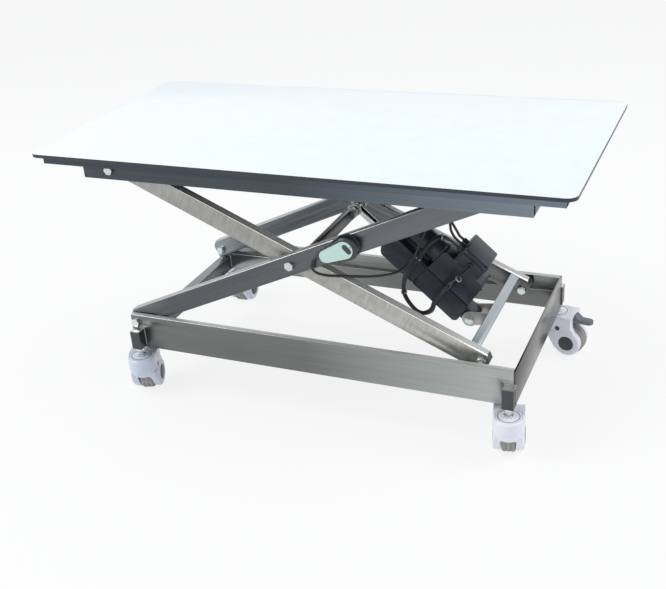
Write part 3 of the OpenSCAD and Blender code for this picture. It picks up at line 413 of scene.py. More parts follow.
# %% Directions of the actuator, as in the CAD
TAIL = Vector((0.321964, 0.0, 0.201027))
ROD_PIN = Vector((0.053421, 0.0, 0.439108))
ACT_L = (ROD_PIN - TAIL).length
ALONG = (ROD_PIN - TAIL) / ACT_L
ACROSS = Vector((ALONG.z, 0, -ALONG.x))


def act_point(a, y, b):
    """A point by its distance along and across the actuator, in millimetres."""
    return TAIL + ALONG * (a / 1000) + mm(0, y, 0) + ACROSS * (b / 1000)


print("actuator length in mm:", round(ACT_L * 1000, 1))

# %% Places of the sockets, from the sizes of the actuator in millimetres
TUBE_D, MOTOR_D, MOTOR_L = 38.0, 62.0, 88.0
CTRL_L, CTRL_H, CTRL_T = 68.0, 46.0, 84.0
EYE_GAP, PLUG_L, GLAND_H = 0.3, 12, 9
GEAR_SHARE = 0.42
GEAR_A, GEAR_HIGH = ACT_L * 1000 * GEAR_SHARE, TUBE_D * 2.4
CTRL_BACK, MOTOR_OFF, MOTOR_GLAND = TUBE_D * 0.72, TUBE_D * 0.8, MOTOR_L * 0.7
CTRL_A = GEAR_A - CTRL_L - CTRL_BACK
SOCKET_TIP, SOCKET_B, SOCKET_Y = CTRL_A + CTRL_L + PLUG_L, GEAR_HIGH + CTRL_H / 2, CTRL_T / 4
SIDE_A, SIDE_Y = CTRL_A + CTRL_L / 2, -CTRL_T / 2 - GLAND_H
MOTOR_B = MOTOR_OFF + MOTOR_D / 2 + EYE_GAP
MOTOR_END, MOTOR_TOP = GEAR_A + EYE_GAP + MOTOR_GLAND, MOTOR_B + MOTOR_D / 2 + GLAND_H
HAND_X, HAND_Y, HAND_Z = -23.9547, -223.74, 381.75
HAND_CORD_S, HAND_STEPS = 89.6, (0, 4, 9)
HAND_OUT = Vector((-math.cos(TILT), 0, -math.sin(TILT)))
HAND_EXIT = mm(HAND_X, HAND_Y, HAND_Z) - HAND_OUT * (HAND_CORD_S / 1000)


def socket_lead(y, *steps):
    """Points on the axis of a socket, each some way in front of its tip."""
    return [act_point(SOCKET_TIP + step, y, SOCKET_B) for step in steps]


def all_mm(*places):
    """Places given in millimetres, such as the points in mid-air."""
    return [mm(*place) for place in places]


print("plug tips in mm:", round(SOCKET_TIP, 1), "hand cord leaves at:", tuple(HAND_EXIT))

# %% Routes of the three cables
loop_route = socket_lead(-SOCKET_Y, 0, 5, 10) + [
    act_point(SOCKET_TIP + 22, -23, SOCKET_B + 1), act_point(SOCKET_TIP + 36, -29, SOCKET_B + 1)
] + all_mm(
    (256, -36, 404), (240, -43, 394), (226, -47, 376), (208, -51, 350), (190, -53, 324),
    (176, -51, 296), (173, -48, 264), (188, -46, 234), (212, -44, 214), (234, -42, 222),
    (244, -41, 246), (262, -44, 274), (282, -56, 298), (296, -70, 314), (310, -80, 328),
    (322, -80, 339)
) + [
    act_point(SIDE_A, SIDE_Y - 19, SOCKET_B - 1), act_point(SIDE_A, SIDE_Y - 9, SOCKET_B),
    act_point(SIDE_A, SIDE_Y - 4, SOCKET_B), act_point(SIDE_A, SIDE_Y, SOCKET_B)]
motor_route = socket_lead(0, 0, 5, 10) + [
    act_point(SOCKET_TIP + 22, 0, SOCKET_B + 1), act_point(SOCKET_TIP + 36, 0, SOCKET_B + 7),
    act_point(180, 0, 129), act_point(191, 0, 138), act_point(203, 0, 140),
    act_point(212, 0, 132), act_point(214, 0, 119), act_point(MOTOR_END, 0, MOTOR_TOP + 8),
    act_point(MOTOR_END, 0, MOTOR_TOP + 4), act_point(MOTOR_END, 0, MOTOR_TOP)]
hand_route = [HAND_EXIT + HAND_OUT * (step / 1000) for step in HAND_STEPS] + [
    HAND_EXIT + HAND_OUT * 0.018 - mm(0, 0, 2)
] + all_mm(
    (35, -224, 398), (34, -223, 385), (43, -219, 374), (60, -211, 367), (78, -203, 364),
    (110, -184, 358), (144, -146, 344), (174, -100, 334), (194, -74, 342), (210, -66, 364),
    (222, -60, 394), (234, -48, 424), (248, -30, 444), (264, -4, 449), (269, 16, 436),
    (268, 21, 420)
) + [
    act_point(SOCKET_TIP + 26, SOCKET_Y, SOCKET_B + 5)] + socket_lead(SOCKET_Y, 12, 5, 0)
print("route points:", len(loop_route), len(motor_route), len(hand_route))


# %% Smooth curve through a route
CABLE_D = 0.006
CURVE_STEPS, RIM_STEPS = 6, 3


def smooth(points):
    """Catmull-Rom points, the same rule as in the CAD model."""
    out = []
    last = len(points) - 1
    for i in range(last):
        a, b = points[max(i - 1, 0)], points[i]
        c, d = points[i + 1], points[min(i + 2, last)]
        for j in range(CURVE_STEPS):
            t = j / CURVE_STEPS
            out.append(0.5 * (2 * b + (c - a) * t + (2 * a - 5 * b + 4 * c - d) * t * t
                              + (3 * b - a - 3 * c + d) * t ** 3))
    return out + [points[-1]]


def cable(name, route):
    """A round cable as a curve of one open spline, and its length."""
    points = smooth(route)
    curve = poly_curve(name, [points])
    curve.bevel_depth = CABLE_D / 2
    curve.bevel_resolution = RIM_STEPS
    curve.use_fill_caps = True
    curve.materials.append(finish["cable_black"])
    length = sum((q - p).length for p, q in zip(points, points[1:]))
    print(name, "length in m:", round(length, 3))
    return linked(name, curve), length


print("cable diameter in m:", CABLE_D)

# %% Lay the cables of the actuator
for name, route in (("cable_loop", loop_route), ("cable_motor", motor_route)):
    piece, length = cable(name, route)
    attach(piece, "actuator_barrel")
    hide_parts("act_cables")
    tuple(route[0])

# %% Two more strands beside the loop
SLACK_SIDE = Vector((0.75, 0, -0.66))
SLACK_A, SLACK_B = SLACK_SIDE * 0.0062, SLACK_SIDE * 0.0031 + mm(0, -5.6, 0)
SLACK_END = 0.3
for name, side, first, last in (("cable_slack_a", SLACK_A, 3, 18),
                                ("cable_slack_b", SLACK_B, 4, 17)):
    route = ([loop_route[first] + side * SLACK_END]
             + [p + side for p in loop_route[first + 1:last]]
             + [loop_route[last] + side * SLACK_END])
    piece, length = cable(name, route)
    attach(piece, "actuator_barrel")
    tuple(route[0])

# %% Lay the cord of the hand control, which turns across the scissor joint
curve, length = cable("hand_curve", hand_route)
piece = linked("cable_hand", evaluated_mesh(curve))
bpy.data.objects.remove(curve)
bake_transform(piece)
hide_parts("hand_cord")
[tuple(p) for p in smooth(hand_route)]
print("hand cord faces:", len(piece.data.polygons))

# %% [markdown]
# ## Floor and light
# The photograph is a cut-out on white, so the scene is plain. A pale world
# lights the table softly from all around, and two large lamps give its forms
# a light side and a dark side. The camera, and what metal reflects, see plain
# white, and the floor is white too but keeps a faint shadow, so that the
# castors stand on something.

# %% World seen plain by the camera and by reflections
SKY, WHITE, FLOOR_PAINT = (0.96, 0.98, 1.0, 1), (1, 1, 1, 1), (0.92, 0.93, 0.94, 1)
SOFT_LIGHT, PLAIN_WHITE, FLOOR_GLOW = 0.58, 1.0, 0.82


def seen_plainly(tree):
    """One for rays of the camera, of a reflection or through glass, else nought."""
    path = tree.nodes.new("ShaderNodeLightPath")
    both = node(tree, "ShaderNodeMath", {0: path.outputs["Is Camera Ray"],
                                         1: path.outputs["Is Glossy Ray"]}, operation="MAXIMUM")
    every = node(tree, "ShaderNodeMath", {0: both.outputs[0],
                                          1: path.outputs["Is Transmission Ray"]},
                 operation="MAXIMUM")
    return every.outputs[0]


def show_mix(tree, output_kind, fac, first, second):
    """Shows first where fac is nought and second where it is one."""
    mix = node(tree, "ShaderNodeMixShader",
               {"Fac": fac, 1: first.outputs[0], 2: second.outputs[0]})
    node(tree, output_kind, {"Surface": mix.outputs[0]})


world = bpy.data.worlds.new("studio")
bpy.context.scene.world = world
world.use_nodes = True
tree = world.node_tree
tree.nodes.clear()
soft = node(tree, "ShaderNodeBackground", values={"Color": SKY, "Strength": SOFT_LIGHT})
white = node(tree, "ShaderNodeBackground", values={"Color": WHITE, "Strength": PLAIN_WHITE})
show_mix(tree, "ShaderNodeOutputWorld", seen_plainly(tree), soft, white)
print("world ready")


# %% Two soft lamps and the floor
def area_lamp(name, place, target, size, power):
    """A square lamp that looks from its place to a target, with its power in watts."""
    data = bpy.data.lights.new(name, "AREA")
    data.size = size
    data.energy = power
    lamp = linked(name, data)
    lamp.location = place
    lamp.rotation_euler = (Vector(target) - Vector(place)).to_track_quat("-Z", "Y").to_euler()


area_lamp("lamp_left", (-2.6, -1.6, 3.0), target=(0, 0, 0.3), size=2.2, power=72)
area_lamp("lamp_right", (2.8, 0.6, 2.8), target=(0.2, 0, 0.3), size=2.0, power=44)

FLOOR_HALF = 14
floor_mesh = bpy.data.meshes.new("floor")
floor_mesh.from_pydata([(x * FLOOR_HALF, y * FLOOR_HALF, 0)
                        for x, y in ((-1, -1), (1, -1), (1, 1), (-1, 1))], [], [(0, 1, 2, 3)])
floor = linked("floor", floor_mesh)
floor_mat = bpy.data.materials.new("floor_white")
floor_mat.use_nodes = True
tree = floor_mat.node_tree
tree.nodes.clear()
matte = node(tree, "ShaderNodeBsdfDiffuse", values={"Color": FLOOR_PAINT})
glow = node(tree, "ShaderNodeEmission", values={"Strength": PLAIN_WHITE})
part = node(tree, "ShaderNodeMath", {0: seen_plainly(tree)}, {1: FLOOR_GLOW},
            operation="MULTIPLY")
show_mix(tree, "ShaderNodeOutputMaterial", part.outputs[0], matte, glow)
floor_mesh.materials.append(floor_mat)
print("stage ready")

# %% [markdown]
# ## Soft edges on the sheet metal and the mouldings
# CAD solids have knife edges, but bent sheet and moulded plastic have small
# radii that catch the light as thin bright lines. We can't change a CAD
# mesh, so a rigid piece is copied, its triangles are merged into faces, and
# a Bevel modifier rounds the copy's edges. The copy then stands for the node.
# Merging can close the hole in a flat ring by mistake, so the area before and
# after is compared, and where it differs the triangles are kept.


# %% Copy a node with its triangles merged
WELD_DIST = 0.00001
FLAT_ANGLE = math.radians(0.8)
AREA_SLACK = 0.003
LONG_EDGE, SHARP_TURN, BEND_STEPS = 0.2, 1.0, 3


def face_area(mesh):
    """The whole area, which a hole that closes by mistake would raise."""
    mesh.calc_loop_triangles()
    return sum(t.area for t in mesh.loop_triangles)


def merged_copy(source):
    """A copy of the mesh with its flat triangles merged into faces."""
    mesh = source.copy()
    if "custom_normal" in mesh.attributes:
        mesh.attributes.remove(mesh.attributes["custom_normal"])
    work = bmesh.new()
    work.from_mesh(mesh)
    bmesh.ops.remove_doubles(work, verts=work.verts, dist=WELD_DIST)
    work.to_mesh(mesh)
    before = face_area(mesh)
    bmesh.ops.dissolve_limit(work, angle_limit=FLAT_ANGLE, verts=work.verts,
                             edges=work.edges, delimit=set())
    merged = mesh.copy()
    work.to_mesh(merged)
    work.free()
    return merged if abs(face_area(merged) / before - 1) < AREA_SLACK else mesh


def bend_long_edges(mesh, radius):
    """Rounds the long outer edges of a tube or of folded sheet."""
    work = bmesh.new()
    work.from_mesh(mesh)
    edges = [e for e in work.edges if e.is_manifold and e.is_convex
             and e.calc_length() > LONG_EDGE and e.calc_face_angle() > SHARP_TURN]
    bmesh.ops.bevel(work, geom=edges, offset=radius, segments=BEND_STEPS, profile=0.5,
                    affect="EDGES", clamp_overlap=False)
    work.to_mesh(mesh)
    work.free()


print("merging ready")


# %% Round the edges and give the finishes
SMOOTH_BELOW, BEVEL_ABOVE = math.radians(35), math.radians(50)
BEVEL_STEPS = 2


def paint(mesh, finishes, pick=None):
    """Gives the mesh its finishes; pick(face) says which one a face takes."""
    mesh.materials.clear()
    for material in finishes:
        mesh.materials.append(material)
    for face in mesh.polygons:
        face.use_smooth = True
        face.material_index = pick(face) if pick else 0
    mesh.set_sharp_from_angle(angle=SMOOTH_BELOW)


def dressed(node_name, finishes, width, pick, bend):
    """A copy of the node with rounded edges and its finishes."""
    mesh = merged_copy(frame["nodes"][node_name].data)
    if bend:
        bend_long_edges(mesh, bend)
    piece = linked(node_name + "_piece", mesh)
    bevel = piece.modifiers.new("edge", "BEVEL")
    bevel.width = width
    bevel.segments = BEVEL_STEPS
    bevel.limit_method = "ANGLE"
    bevel.angle_limit = BEVEL_ABOVE
    bevel.use_clamp_overlap = True
    bevel.miter_outer = "MITER_ARC"
    result = evaluated_mesh(piece)
    piece.modifiers.clear()
    piece.data = result
    paint(result, finishes, pick)
    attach(piece, body_of[node_name])
    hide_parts(node_name)


def dress_all(table):
    """Each row: nodes, finishes, edge and bend in millimetres, and the choice of finish."""
    for names, finishes, width, bend, pick in table:
        for name in names.split():
            dressed(name, [finish[f] for f in finishes.split()], width / 1000, pick, bend / 1000)
    print("dressed:", sum(len(row[0].split()) for row in table))


print("rounding ready")

# %% Which finish a face takes
UPWARD, UPRIGHT, LEANING = 0.6, 0.5, 0.25


def faces_up(face):
    """1 for the top side, which takes a paler finish: painted light."""
    return 1 if face.normal.z > UPWARD else 0


def faces_side(face):
    """1 for the rim of a flat board."""
    return 1 if abs(face.normal.z) < UPRIGHT else 0


def up_and_bend(axis):
    """1 for the top side, 2 for the bends between the top and the sides across the axis; the paler
    finishes there are painted light and painted highlights.
    """
    def pick(face):
        if abs(face.normal[axis]) > LEANING and face.normal.z > LEANING:
            return 2
        return faces_up(face)
    return pick


side_bend, end_bend = up_and_bend(1), up_and_bend(0)
print("choices of finish ready")

# %% Round the steel parts
# The second finish of a row goes on the top faces as painted light, the third on the bends as a
# painted highlight.
dress_all([
    ("base_rail_front", "rail_front rail_top soft_edge", 0.4, 1.6, side_bend),
    ("base_rail_rear", "rail_rear rail_top soft_edge", 0.4, 1.6, side_bend),
    ("base_left_tube", "tube_left tube_left_top soft_edge", 0.6, 1.8, end_bend),
    ("low_crossbar", "cross", 0.6, 1.8, None),
    ("base_right_plate", "plate", 0.6, 0, None),
    ("castor_posts", "post post_top", 1.0, 0, faces_up),
    ("top_channel_front top_channel_rear", "channel", 0.4, 1.4, None),
    ("top_frame top_cross_members", "frame", 0.8, 0, None),
    ("outer_arm_front", "arm_outer arm_edge soft_edge", 0.4, 1.6, side_bend),
    ("outer_arm_rear", "arm_outer_rear arm_edge soft_edge", 0.4, 1.6, side_bend),
    ("inner_arm_front", "arm_inner arm_top bright_edge", 0.4, 1.6, side_bend),
    ("inner_arm_rear", "arm_inner_rear arm_top bright_edge", 0.4, 1.6, side_bend),
    ("push_crossbar", "arm_inner_rear", 0.6, 1.8, None),
    ("rod_bracket", "bracket", 0.6, 0, None),
    ("tail_bracket", "tail_plate", 0.6, 0, None),
    ("castor_stems base_pivot_bolts centre_bolts upper_axles lower_axles tail_pin"
     " top_pivot_bolts act_rod", "zinc", 0.5, 0, None),
])

# %% Round the mouldings
dress_all([
    ("fr_housing rr_housing", "castor_lilac", 1.2, 0, None),
    # The left housings take the darker lilac copy, which is painted shade.
    ("fl_housing rl_housing", "castor_shade", 1.2, 0, None),
    ("fl_caps fr_caps rl_caps rr_caps", "castor_dark", 0.6, 0, None),
    ("fl_pedal fr_pedal rl_pedal rr_pedal", "pedal_grey", 1.2, 0, None),
    ("fl_core fr_core rl_core rr_core", "wheel_core", 0.5, 0, None),
    ("act_housing", "black_shell", 2.0, 0, None),
    ("act_control_box", "black_shell", 1.0, 0, None),
    ("act_motor act_tube", "motor_black", 0.8, 0, None),
    ("hand_rocker", "rocker_dark", 0.6, 0, None),
    ("roller_base_front roller_base_rear roller_top_front roller_top_rear", "roller_nylon",
     0.6, 0, None),
    ("table_board", "board_face board_edge", 0.6, 0, faces_side),
])

# %% [markdown]
# ## Tyres turned on a lathe
# A castor's tread is a soft ring with two grooves that let water out. We draw
# the section of the ring and spin it about the axle that the CAD joint gives.


# %% Spin a section about an axle
LATHE_MERGE = 0.000001


def lathe(name, section, place, axis, material, steps=72):
    """Spins (along, radius) points, in millimetres, about an axis through a place."""
    axis = Vector(axis).normalized()
    side = axis.orthogonal().normalized()
    other = axis.cross(side)
    verts, faces = [], []
    count = len(section)
    for k in range(steps):
        turn_by = 2 * math.pi * k / steps
        out_dir = side * math.cos(turn_by) + other * math.sin(turn_by)
        verts += [Vector(place) + axis * (a / 1000) + out_dir * (r / 1000) for a, r in section]
        here, there = k * count, (k + 1) % steps * count
        faces += [(here + i, here + i + 1, there + i + 1, there + i) for i in range(count - 1)]
    closed = section[0] == section[-1]
    mesh = closed_mesh(name, verts, faces, merge=LATHE_MERGE, cap=not closed)
    paint(mesh, [material])
    return linked(name, mesh)


print("lathe ready")

# %% Turn the four tyres
CORNERS = ("fl", "fr", "rl", "rr")
TYRE_R, TYRE_IN, TYRE_HALF = 37.5, 27.0, 15.5
GROOVE_AT, GROOVE_HALF, GROOVE_DEEP = 5.2, 1.1, 1.5
SHOULDER = ((0, 5), (1.3, 2.2), (3.6, 0.5), (5.6, 0))


def groove(at):
    """Four points that dip into the tread and come out again."""
    return [(at - GROOVE_HALF, TYRE_R), (at - GROOVE_HALF * 0.5, TYRE_R - GROOVE_DEEP),
            (at + GROOVE_HALF * 0.5, TYRE_R - GROOVE_DEEP), (at + GROOVE_HALF, TYRE_R)]


near = [(step - TYRE_HALF, TYRE_R - drop) for step, drop in SHOULDER]
far = [(-along, radius) for along, radius in reversed(near)]
tread = ([(-TYRE_HALF, TYRE_IN)] + near + groove(-GROOVE_AT) + groove(GROOVE_AT) + far
         + [(TYRE_HALF, TYRE_IN), (-TYRE_HALF, TYRE_IN)])
for corner in CORNERS:
    roll = joint_of[corner + "_roll"]
    piece = lathe(corner + "_tyre_piece", tread, roll["pos_m"], roll["axis"],
                  finish["tyre_grey"])
    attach(piece, corner + "_wheel")
    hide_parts(corner + "_tyre")
print("tyres turned:", len(CORNERS))

# %% [markdown]
# ## Weld seams
# The frame is welded from tube and sheet, and each weld is a row of small
# overlapping ripples. Geometry Nodes suit such a row: a line is cut into equal
# steps and a small round drop of metal is set at each. The size of a drop and
# the step between two are inputs of the tree, so one tree serves every seam.


# %% Helpers for Geometry Nodes
def new_tree(name, inputs):
    """A tree, its input node and the identifier of each named input."""
    tree = bpy.data.node_groups.new(name, "GeometryNodeTree")
    for way in ("INPUT", "OUTPUT"):
        tree.interface.new_socket(name="Geometry", in_out=way, socket_type="NodeSocketGeometry")
    ids = {}
    for label, kind, default in inputs:
        made = tree.interface.new_socket(name=label, in_out="INPUT", socket_type=kind)
        if default is not None:
            made.default_value = default
        ids[label] = made.identifier
    return tree, tree.nodes.new("NodeGroupInput"), ids


def end_tree(tree, instances, metal):
    """Makes the instances real, gives them their metal and hands them out."""
    real = node(tree, "GeometryNodeRealizeInstances", {"Geometry": instances})
    coat = node(tree, "GeometryNodeSetMaterial",
                {"Geometry": real.outputs["Geometry"], "Material": metal})
    node(tree, "NodeGroupOutput", {"Geometry": coat.outputs["Geometry"]})


def made_plain(name, data, tree, values, body, smooth_faces=True):
    """Runs the tree on the data, keeps the result as a mesh and rides it."""
    carrier = linked(data.name, data)
    laid = carrier.modifiers.new("laid", "NODES")
    laid.node_group = tree
    for key, value in values.items():
        laid[key] = value
    mesh = evaluated_mesh(carrier)
    bpy.data.objects.remove(carrier)
    for face in mesh.polygons:
        face.use_smooth = smooth_faces
    piece = linked(name, mesh)
    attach(piece, body)
    return piece


print("tree helpers ready")

# %% A node tree that lays a seam along a line
DROP_R = 0.0016
DROP_STEP = DROP_R * 1.15
DROP_ROUND = 2
SMALLEST, LARGEST, SIZE_SEED = 0.82, 1.12, 7
seam_tree, given, seam_ids = new_tree("weld_seam", [
    ("Drop radius", "NodeSocketFloat", DROP_R), ("Step", "NodeSocketFloat", DROP_STEP),
    ("Metal", "NodeSocketMaterial", None)])
steps = node(seam_tree, "GeometryNodeResampleCurve",
             {"Curve": given.outputs["Geometry"], "Length": given.outputs["Step"]},
             mode="LENGTH")
drop = node(seam_tree, "GeometryNodeMeshIcoSphere", {"Radius": given.outputs["Drop radius"]},
            {"Subdivisions": DROP_ROUND})
wobble = node(seam_tree, "FunctionNodeRandomValue",
              values={2: SMALLEST, 3: LARGEST, "Seed": SIZE_SEED}, data_type="FLOAT")
rows = node(seam_tree, "GeometryNodeInstanceOnPoints", {
    "Points": steps.outputs["Curve"], "Instance": drop.outputs["Mesh"],
    "Scale": wobble.outputs[1]})
end_tree(seam_tree, rows.outputs["Instances"], given.outputs["Metal"])
print("seam inputs:", seam_ids)

# %% Seams of the posts and of the left end tube
SEAM_INSET = 0.0003
POST_XS, POST_HALF, POST_Y = (-0.435, 0.4685), 0.0125, 0.2318
SEAM_LOW, SEAM_HIGH = 0.131, 0.1762


def seam(name, paths, body):
    """A weld along each path."""
    piece = made_plain(name, poly_curve(name + "_line", paths), seam_tree, {
        seam_ids["Drop radius"]: DROP_R, seam_ids["Step"]: DROP_STEP,
        seam_ids["Metal"]: finish["weld"]}, body)
    print(name, "faces:", len(piece.data.polygons))


def ends_of_bar(node_name):
    """Rectangles where a bar that lies along Y meets what carries it."""
    low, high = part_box(node_name)
    corners = [(low[0], low[2]), (high[0], low[2]), (high[0], high[2]), (low[0], high[2]),
               (low[0], low[2])]
    return [[(x, y, z) for x, z in corners]
            for y in (low[1] + SEAM_INSET, high[1] - SEAM_INSET)]


post_paths = [
    [(x - POST_HALF, y, SEAM_LOW), (x - POST_HALF, y, SEAM_HIGH),
     (x + POST_HALF, y, SEAM_HIGH), (x + POST_HALF, y, SEAM_LOW)]
    for x in POST_XS for y in (-POST_Y, POST_Y)]
seam("post_seams", post_paths, "base")
seam("end_tube_seams", ends_of_bar("base_left_tube"), "base")

# %% [markdown]
# ## Screws of the actuator
# The actuator's case is two shells held by socket-head screws, and its control
# box has four more on each side. One tree drills the hexagon into a head once,
# then sets that head on every point of a small point mesh.

# %% A node tree that sets a screw on each point
HEAD_R, HEAD_HIGH, HEAD_SIDES = 0.0032, 0.0024, 24
KEY_R, KEY_DEEP, KEY_LIFT, KEY_SIDES = 0.0016, 0.002, 0.0012, 6
screw_tree, given, screw_ids = new_tree("socket_screw", [
    ("Head radius", "NodeSocketFloat", HEAD_R), ("Turn", "NodeSocketVector", (0, 0, 0)),
    ("Metal", "NodeSocketMaterial", None)])
head = node(screw_tree, "GeometryNodeMeshCylinder", {"Radius": given.outputs["Head radius"]},
            {"Vertices": HEAD_SIDES, "Depth": HEAD_HIGH})
key_hole = node(screw_tree, "GeometryNodeMeshCylinder",
                values={"Vertices": KEY_SIDES, "Radius": KEY_R, "Depth": KEY_DEEP})
lift = node(screw_tree, "GeometryNodeTransform", {"Geometry": key_hole.outputs["Mesh"]},
            {"Translation": (0, 0, KEY_LIFT)})
drill = node(screw_tree, "GeometryNodeMeshBoolean",
             {"Mesh 1": head.outputs["Mesh"], "Mesh 2": lift.outputs["Geometry"]},
             operation="DIFFERENCE")
rows = node(screw_tree, "GeometryNodeInstanceOnPoints", {
    "Points": given.outputs["Geometry"], "Instance": drill.outputs["Mesh"],
    "Rotation": given.outputs["Turn"]})
end_tree(screw_tree, rows.outputs["Instances"], given.outputs["Metal"])
print("screw inputs:", screw_ids)

# %% Screws on both sides of the case and the control box
CASE_SIDE, BOX_SIDE = 35.0, 42.0
CASE_PLACES = ((34, -19), (140, -19), (246, -17), (246, 20), (34, 83), (140, 83), (34, 22))
BOX_PLACES = ((62, 97), (117, 97), (62, 131), (117, 131))
for word, side in (("front", -1), ("rear", 1)):
    name = "act_screws_" + word
    points = [act_point(a, side * CASE_SIDE, b) for a, b in CASE_PLACES]
    points += [act_point(a, side * BOX_SIDE, b) for a, b in BOX_PLACES]
    mesh = bpy.data.meshes.new(name + "_points")
    mesh.from_pydata(points, [], [])
    piece = made_plain(name, mesh, screw_tree, {
        screw_ids["Head radius"]: HEAD_R,
        screw_ids["Turn"]: (math.radians(-90 * side), 0, 0),
        screw_ids["Metal"]: finish["screw_steel"]},
        "actuator_barrel", smooth_faces=False)
    print(name, "screws:", len(points), "faces:", len(piece.data.polygons))

# %% [markdown]
# ## Plugs and ties
# Each plug has ribs to grip it by, and clear ties hold the two slack strands
# to the loop. All of them are rings, so they are turned like the tyres, about
# the direction of the plug or of the cable.


# %% Rings round a cable or a plug
def ring_section(half, inner, outer):
    """The section of a plain ring, in millimetres."""
    return [(-half, inner), (-half, outer), (half, outer), (half, inner), (-half, inner)]


def joined(name, pieces, body):
    """Makes one piece of several meshes with the same finish."""
    work = bmesh.new()
    for piece in pieces:
        work.from_mesh(piece.data)
    mesh = pieces[0].data.copy()
    work.to_mesh(mesh)
    work.free()
    for piece in pieces:
        bpy.data.objects.remove(piece)
    made = linked(name, mesh)
    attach(made, body)
    print(name, "rings:", len(pieces))


RIB, RIB_STEPS, RIBS_BACK = ring_section(0.7, 5.6, 6.7), 32, (3.0, 6.0, 9.0)
joined("plug_ribs", [
    lathe("rib", RIB, act_point(SOCKET_TIP - back, y, SOCKET_B), ALONG, finish["black_shell"],
          steps=RIB_STEPS)
    for y in (-SOCKET_Y, 0, SOCKET_Y) for back in RIBS_BACK], "actuator_barrel")

# %% Clear ties that hold the loop
TIE, TIE_STEPS, TIE_SHARES = ring_section(1.4, 6.2, 7.3), 36, (0.20, 0.33, 0.46, 0.80)
TIE_SHIFT = SLACK_SIDE * 0.003
loop_points = smooth(loop_route)
ties = []
for share in TIE_SHARES:
    k = int(share * (len(loop_points) - 1))
    direction = loop_points[k + 1] - loop_points[k - 1]
    ties.append(lathe("tie", TIE, loop_points[k] + TIE_SHIFT, direction, finish["tie_clear"],
                      steps=TIE_STEPS))
joined("cable_ties", ties, "actuator_barrel")

# %% [markdown]
# ## The hand control
# The hand control is a drop-shaped moulding that swells from its cord to its
# head, with a seam between its two shells and a mint face let into its front.
# It is lofted through drop outlines, each made of two circles joined by
# tangents, and the rocker's opening is then cut out of both pieces.


# %% Loft through drop outlines
HAND_FACE_Y = -240.3
HEAD_STEPS, TAIL_STEPS = 56, 30
LOFT_MERGE = 0.000002


def hand_point(s, t, y):
    """A point on the hand control: s along the arm, t across it, in millimetres."""
    c, n = math.cos(TILT), math.sin(TILT)
    return mm(HAND_X + s * c - t * n, y, HAND_Z + s * n + t * c)


def drop_outline(s_small, r_small, s_big, r_big):
    """The arc of the big circle, then the arc of the small one."""
    bend = math.pi - math.acos((r_big - r_small) / (s_big - s_small))
    big = [bend * (2 * i / HEAD_STEPS - 1) for i in range(HEAD_STEPS + 1)]
    small = [bend + (2 * math.pi - 2 * bend) * i / TAIL_STEPS for i in range(TAIL_STEPS + 1)]
    return ([(s_big + r_big * math.cos(t), r_big * math.sin(t)) for t in big]
            + [(s_small + r_small * math.cos(t), r_small * math.sin(t)) for t in small])


def drop_loft(name, layers, material):
    """Each layer: y, then the place and the radius of the small and of the big circle."""
    verts, faces = [], []
    for y, *sizes in layers:
        ring = [hand_point(s, t, y) for s, t in drop_outline(*sizes)]
        verts += ring
    count = len(ring)
    for k in range(len(layers) - 1):
        for i in range(count):
            j = (i + 1) % count
            faces.append((k * count + i, k * count + j, (k + 1) * count + j,
                          (k + 1) * count + i))
    faces.append(tuple(range(count)))
    faces.append(tuple((len(layers) - 1) * count + i for i in reversed(range(count))))
    mesh = closed_mesh(name, verts, faces, merge=LOFT_MERGE)
    paint(mesh, [material])
    return linked(name, mesh)


print("hand control at:", tuple(hand_point(0, 0, HAND_FACE_Y)))

# %% Tools that cut the opening for the rocker and its pin
ROCKER_L, ROCKER_W, ROCKER_GAP = 23.0, 11.0, 0.6
ROCKER_S, ROCKER_TURN = 162.2, math.radians(70)
OPENING_FRONT, OPENING_BACK, STADIUM_STEPS = -242, -230.0, 16
PIN_HALF, PIN_REACH, PIN_FRONT, PIN_BACK = 1.1, 7.6, -239.0, -235.6


def rocker_point(u, v, y):
    """u along the rocker and v across it, about its middle."""
    c, n = math.cos(ROCKER_TURN), math.sin(ROCKER_TURN)
    return hand_point(ROCKER_S + u * c + v * n, -u * n + v * c, y)


def prism(name, outline, y_front, y_back):
    """A solid with the outline of rocker points, from its front to its back."""
    count = len(outline)
    verts = [rocker_point(u, v, y) for y in (y_front, y_back) for u, v in outline]
    faces = [tuple(range(count)), tuple(reversed(range(count, 2 * count)))]
    faces += [(i, i + count, (i + 1) % count + count, (i + 1) % count) for i in range(count)]
    return linked(name, closed_mesh(name, verts, faces))


def stadium(length, width):
    """A bar with round ends."""
    straight, r = (length - width) / 2, width / 2
    return [(side * straight + r * math.cos(t), r * math.sin(t))
            for side, start in ((1, -math.pi / 2), (-1, math.pi / 2))
            for t in (start + math.pi * i / STADIUM_STEPS for i in range(STADIUM_STEPS + 1))]


opening = prism("rocker_opening", stadium(ROCKER_L + 2 * ROCKER_GAP, ROCKER_W + 2 * ROCKER_GAP),
                OPENING_FRONT, OPENING_BACK)
pin_seat = prism("rocker_pin_seat", [(-PIN_HALF, -PIN_REACH), (PIN_HALF, -PIN_REACH),
                                     (PIN_HALF, PIN_REACH), (-PIN_HALF, PIN_REACH)],
                 PIN_FRONT, PIN_BACK)
print("opening points:", len(opening.data.vertices))


# %% The two shells and the face
def cut_out(piece, cutters, material):
    """Takes the cutters out of the piece."""
    for cutter in cutters:
        tool = piece.modifiers.new("opening", "BOOLEAN")
        tool.operation = "DIFFERENCE"
        tool.object = cutter
    mesh = evaluated_mesh(piece)
    piece.modifiers.clear()
    piece.data = mesh
    paint(mesh, [material])


